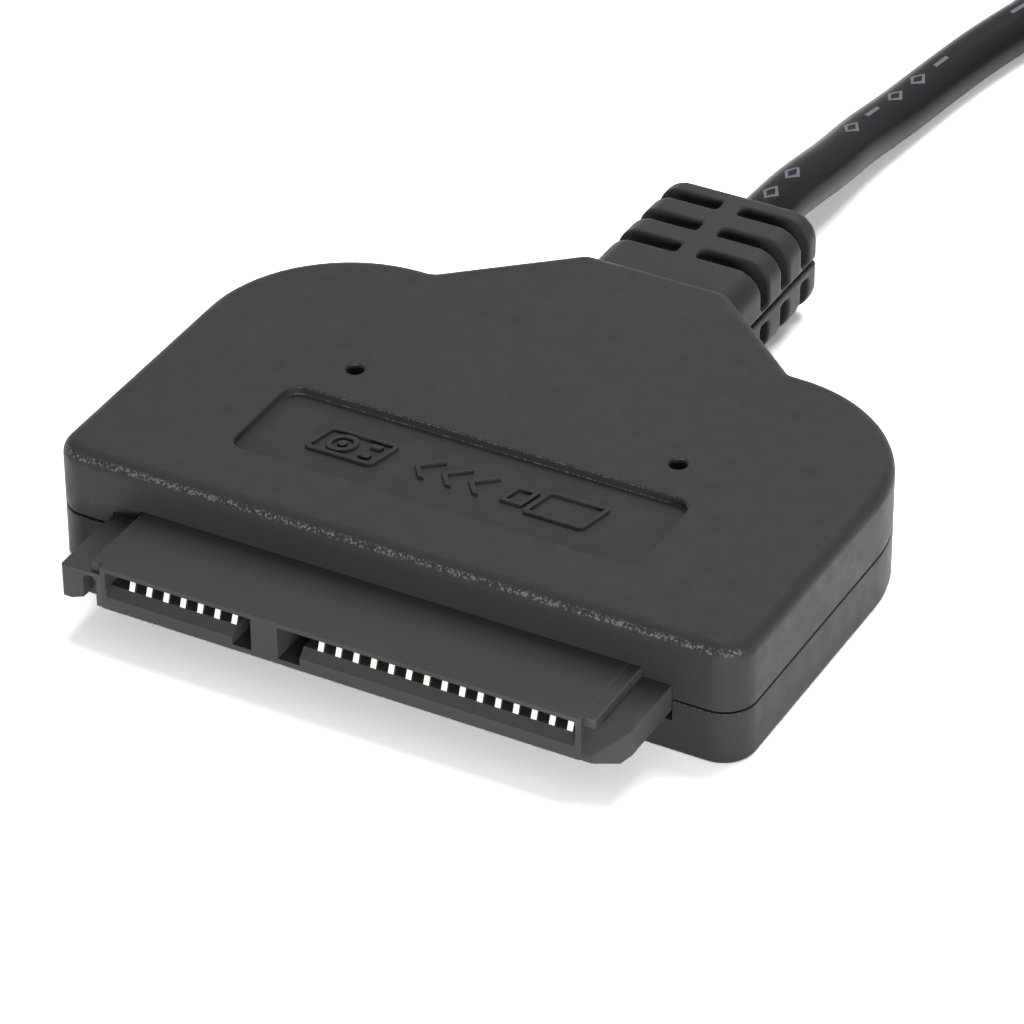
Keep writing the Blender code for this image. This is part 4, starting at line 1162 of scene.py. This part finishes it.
def make_boot(material):
    def section(inset):
        return rectangle(-BOOT_HALF, BOOT_HALF, BOOT_LOW.z, BOOT_HIGH.z, BOOT_RADIUS, inset)

    levels = rounded_levels(BOOT_FRONT, BOOT_BACK, BOOT_FRONT_ROUND, BOOT_BACK_ROUND)
    boot = piece("strain_relief", lengthwise_loft("strain_relief", section, levels), material)
    flange_back = BODY_BACK - WALL - FIT_GAP
    neck = boot_section(BOOT_NECK_HALF, BOOT_NECK_TALL, BOOT_NECK_RADIUS)
    join(boot, plate_mesh("neck", [neck], flange_back - FIT_GAP, BOOT_FRONT + FIT_GAP, "Y"))
    flange = boot_section(BOOT_FLANGE_HALF, BOOT_FLANGE_TALL, BOOT_FLANGE_RADIUS)
    join(boot, plate_mesh("flange", [flange], BOOT_LOW.y, flange_back, "Y"))
    for i in range(BOOT_SLOTS):
        start = BOOT_FIRST_SLOT + i * BOOT_SLOT_PITCH
        for side in (-1, 1):
            for level in (-1, 1):
                cut(boot, boot_window(start, start + BOOT_SLOT_WIDTH, side, level))
    bore = [(BORE_RADIUS, BOOT_LOW.y - THROUGH), (BORE_RADIUS, BOOT_BACK + THROUGH)]
    cut(boot, lengthwise_turned("bore", bore, (0, 0, BOOT_MIDDLE), 40))
    for side in (-1, 1):
        notch = rectangle(
            side * BOOT_HALF - BOOT_GROOVE_DEPTH, side * BOOT_HALF + BOOT_GROOVE_DEPTH,
            BOOT_MIDDLE, BOOT_MIDDLE + BOOT_GROOVE_WIDTH,
        )
        cut(boot, plate_mesh("parting", [notch], BOOT_FRONT + FIT_GAP, BOOT_BACK + THROUGH, "Y"))
    remesh = boot.modifiers.new("skin", "REMESH")
    remesh.mode = "VOXEL"
    remesh.voxel_size = BOOT_VOXEL
    relax = boot.modifiers.new("relax", "SMOOTH")
    relax.factor = 0.5
    relax.iterations = 7
    bake(boot)
    smooth(boot, 80.0)
    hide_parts("cable_boot")


# Tie and plug


def make_tie(material):
    """A flat strap round the coil's turns, whose end lies over its start on top as a tab."""
    centre = Vector(((TIE_LOW.x + TIE_HIGH.x) / 2, (TIE_LOW.y + TIE_HIGH.y) / 2))
    reach = (centre - Vector(COIL_CENTRE)).length
    half = TURNS_WIDTH / 2 + STRAP_THICKNESS
    top = TIE_HIGH.z
    sides = (reach - half, reach + half, 0.0, top - TAB_RISE, TIE_RADIUS)
    loops = [rectangle(*sides), rectangle(*sides, inset=STRAP_THICKNESS)]
    mesh = plate_mesh("strap", loops, -TIE_WIDTH / 2, TIE_WIDTH / 2, "Y", TIE_EDGE)
    tie = piece("strap", mesh, material)
    start, end = (reach + half * share for share in TAB_ENDS)
    tab = rectangle(start, end, top - TAB_THICKNESS, top, TIE_EDGE)
    join(tie, plate_mesh("tab", [tab], -TAB_WIDTH / 2, TAB_WIDTH / 2, "Y", TAB_EDGE))
    tie.data.transform(Matrix.Translation((*COIL_CENTRE, 0.0)) @ Matrix.Rotation(TIE_ANGLE, 4, "Z"))
    smooth(tie, 40.0)
    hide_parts("cable_tie")
    return tie


def make_grip(material):
    """The plug's grip with a grooved relief at the cable, a socket for the shell and a pad on each side."""
    roof = 2 * PLUG_AXIS

    def section(inset):
        return rectangle(PLUG_X - GRIP_HALF, PLUG_X + GRIP_HALF, 0.0, roof, GRIP_RADIUS, inset)

    levels = rounded_levels(GRIP_FRONT, GRIP_BACK, GRIP_FRONT_ROUND, GRIP_BACK_ROUND)
    grip = piece("plug_grip", lengthwise_loft("plug_grip", section, levels), material)
    join(grip, lengthwise_turned("relief", RELIEF_PROFILE, (PLUG_X, RELIEF_BACK, PLUG_AXIS)))
    ring = [circle(PLUG_X, PLUG_AXIS, radius) for radius in RELIEF_GROOVE_RADII]
    for i in range(RELIEF_GROOVES):
        y = GRIP_BACK + RELIEF_LENGTH * (RELIEF_GROOVE_START + RELIEF_GROOVE_PITCH * i)
        cut(grip, plate_mesh("groove", ring, y - RELIEF_GROOVE_HALF, y + RELIEF_GROOVE_HALF, "Y"))
    half = (SHELL_HIGH.x - SHELL_LOW.x) / 2 + FIT_GAP
    tall = (SHELL_HIGH.z - SHELL_LOW.z) / 2 + FIT_GAP
    socket = rectangle(PLUG_X - half, PLUG_X + half, PLUG_AXIS - tall, PLUG_AXIS + tall, SOCKET_RADIUS)
    cut(grip, plate_mesh("socket", [socket], GRIP_FRONT - THROUGH, SHELL_HIGH.y + FIT_GAP, "Y"))
    pad_front = GRIP_FRONT + PAD_MARGIN
    pad_back = GRIP_BACK - PAD_MARGIN
    pad = rectangle(PLUG_X - PAD_HALF, PLUG_X + PAD_HALF, pad_front, pad_back, PAD_RADIUS)
    for level in (0.0, roof):
        cut(grip, plate_mesh("pad", [pad], level - PAD_DEPTH, level + PAD_DEPTH))
    smooth(grip, 32.0)
    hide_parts("usb_grip")
    return grip


def make_plug_shell(material):
    """The plug's folded steel sleeve, with two windows through its top and bottom."""
    sides = (SHELL_LOW.x, SHELL_HIGH.x, SHELL_LOW.z, SHELL_HIGH.z, SHELL_RADIUS)
    walls = [rectangle(*sides), rectangle(*sides, inset=SHELL_WALL)]
    mesh = plate_mesh("plug_shell", walls, SHELL_LOW.y, SHELL_HIGH.y, "Y", SHELL_EDGE)
    shell = piece("plug_shell", mesh, material)
    front = SHELL_LOW.y + WINDOW_START
    for x in (PLUG_X - WINDOW_X, PLUG_X + WINDOW_X):
        half = WINDOW_WIDTH / 2
        window = rectangle(x - half, x + half, front, front + WINDOW_WIDTH, WINDOW_RADIUS)
        cut(shell, plate_mesh("window", [window], SHELL_LOW.z - THROUGH, SHELL_HIGH.z + THROUGH))
    smooth(shell, 32.0)
    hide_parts("usb_shell")
    return shell


# CAD nodes that are shown as they are


def use_material(node, material):
    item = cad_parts[node]
    item.data.materials.clear()
    item.data.materials.append(material)
    smooth(item, 30.0)


def board_material():
    """Green solder mask with paler traces under it."""
    material = surface("board", BOARD, 0.32, grain_size=0.0004, grain_height=0.000006)
    tree = material.node_tree
    shader = tree.nodes["Principled BSDF"]
    place = add_node(tree, "ShaderNodeTexCoord").outputs["Object"]
    inputs = {
        "Vector": place,
        "Scale": 420.0,
        "Mortar Size": 0.018,
        "Color1": (0, 0, 0, 1),
        "Color2": (0, 0, 0, 1),
        "Mortar": (1, 1, 1, 1),
    }
    traces = add_node(tree, "ShaderNodeTexBrick", inputs).outputs["Color"]
    tone = blend_colour(tree, traces, BOARD, BOARD_TRACES)
    tree.links.new(tone, shader.inputs["Base Color"])
    return material


def dress_inner_nodes(gold, steel, jacket):
    chip = surface("chip", (0.022, 0.022, 0.024), 0.5, grain_size=0.00012, grain_height=0.000008)
    ceramic = surface("ceramic", (0.42, 0.28, 0.09), 0.45, variation=0.15, variation_size=0.001)
    lens = surface("lens", (0.70, 0.76, 0.70), 0.18, variation=0.04)
    use_material("circuit_board", board_material())
    for node in ("bridge_chip", "inductor", "regulator"):
        use_material(node, chip)
    for number in range(1, 4):
        use_material(f"capacitor_{number}", ceramic)
    for label in ("left", "right"):
        use_material(f"indicator_led_{label}", lens)
    use_material("crystal", steel)
    use_material("cable_inner_end", jacket)
    colours = (
        (0.50, 0.02, 0.02), (0.65, 0.65, 0.64), (0.03, 0.30, 0.06),
        (0.03, 0.08, 0.42), (0.55, 0.22, 0.02), (0.015, 0.015, 0.015),
    )
    for number, colour in enumerate(colours, 1):
        wire = surface(f"wire_{number}", colour, 0.35, variation=0.06, variation_size=0.002)
        use_material(f"wire_{number}", wire)
    for label, count in (("signal", 7), ("power", 15), ("usb", 9)):
        for number in range(1, count + 1):
            use_material(f"{label}_contact_{number}", gold)


# The pieces' materials

shell_plastic = surface(
    "shell_plastic",
    PLASTIC,
    0.52,
    variation=0.06,
    variation_size=0.012,
    grain_size=0.00016,
    grain_height=0.000013,
    dust=0.35,
    # painted highlight grains on the front top rim
    painted_glints=0.6,
    specular=0.14,
)
connector_plastic = surface(
    "connector_plastic", CONNECTOR_PLASTIC, 0.50, variation=0.05, variation_size=0.006,
    grain_size=0.00035, grain_height=0.000006, edge_paling=0.3, specular=0.12,
)
boot_plastic = surface(
    "boot_plastic", BOOT_PLASTIC, 0.48, variation=0.06, variation_size=0.003,
    grain_size=0.00030, grain_height=0.000006, dust=0.25, specular=0.14,
)
jacket = surface(
    "cable_jacket", JACKET, 0.32, variation=0.08, variation_size=0.004,
    grain_size=0.00030, grain_height=0.000003, roughness_spread=0.02, specular=0.06,
)
print_ink = surface("cable_ink", MARK_COLOUR, 0.55, variation=0.12, variation_size=0.0004)
gold = surface(
    "contact_gold", (0.70, 0.68, 0.62), 0.38, metallic=1.0, variation=0.05, variation_size=0.001,
    grain_size=0.00015, grain_height=0.000002,
)
steel = surface(
    "plug_steel", (0.62, 0.62, 0.63), 0.26, metallic=1.0, variation=0.05, variation_size=0.004,
    grain_size=0.0005, grain_height=0.000003, stretch=(12.0, 1.0, 1.0),
)
blue = surface("tongue_plastic", (0.020, 0.110, 0.520), 0.42, variation=0.05)
strap_material = surface(
    "strap", (0.016, 0.016, 0.017), 0.60, variation=0.15, variation_size=0.0008,
    grain_size=0.0003, grain_height=0.00003,
)

# The scene

bpy.context.scene.view_settings.view_transform = "Standard"
make_camera()
make_world()
make_lights()
make_floor()
cable, cable_line = make_cable(jacket)
marks = make_cable_marks(cable_line, print_ink)
tie = make_tie(strap_material)
grip = make_grip(shell_plastic)
plug_shell = make_plug_shell(steel)
use_material("usb_insulator", blue)
dress_inner_nodes(gold, steel, jacket)

make_top_shell(shell_plastic)
make_bottom_shell(shell_plastic)
make_connector(connector_plastic)
make_boot(boot_plastic)
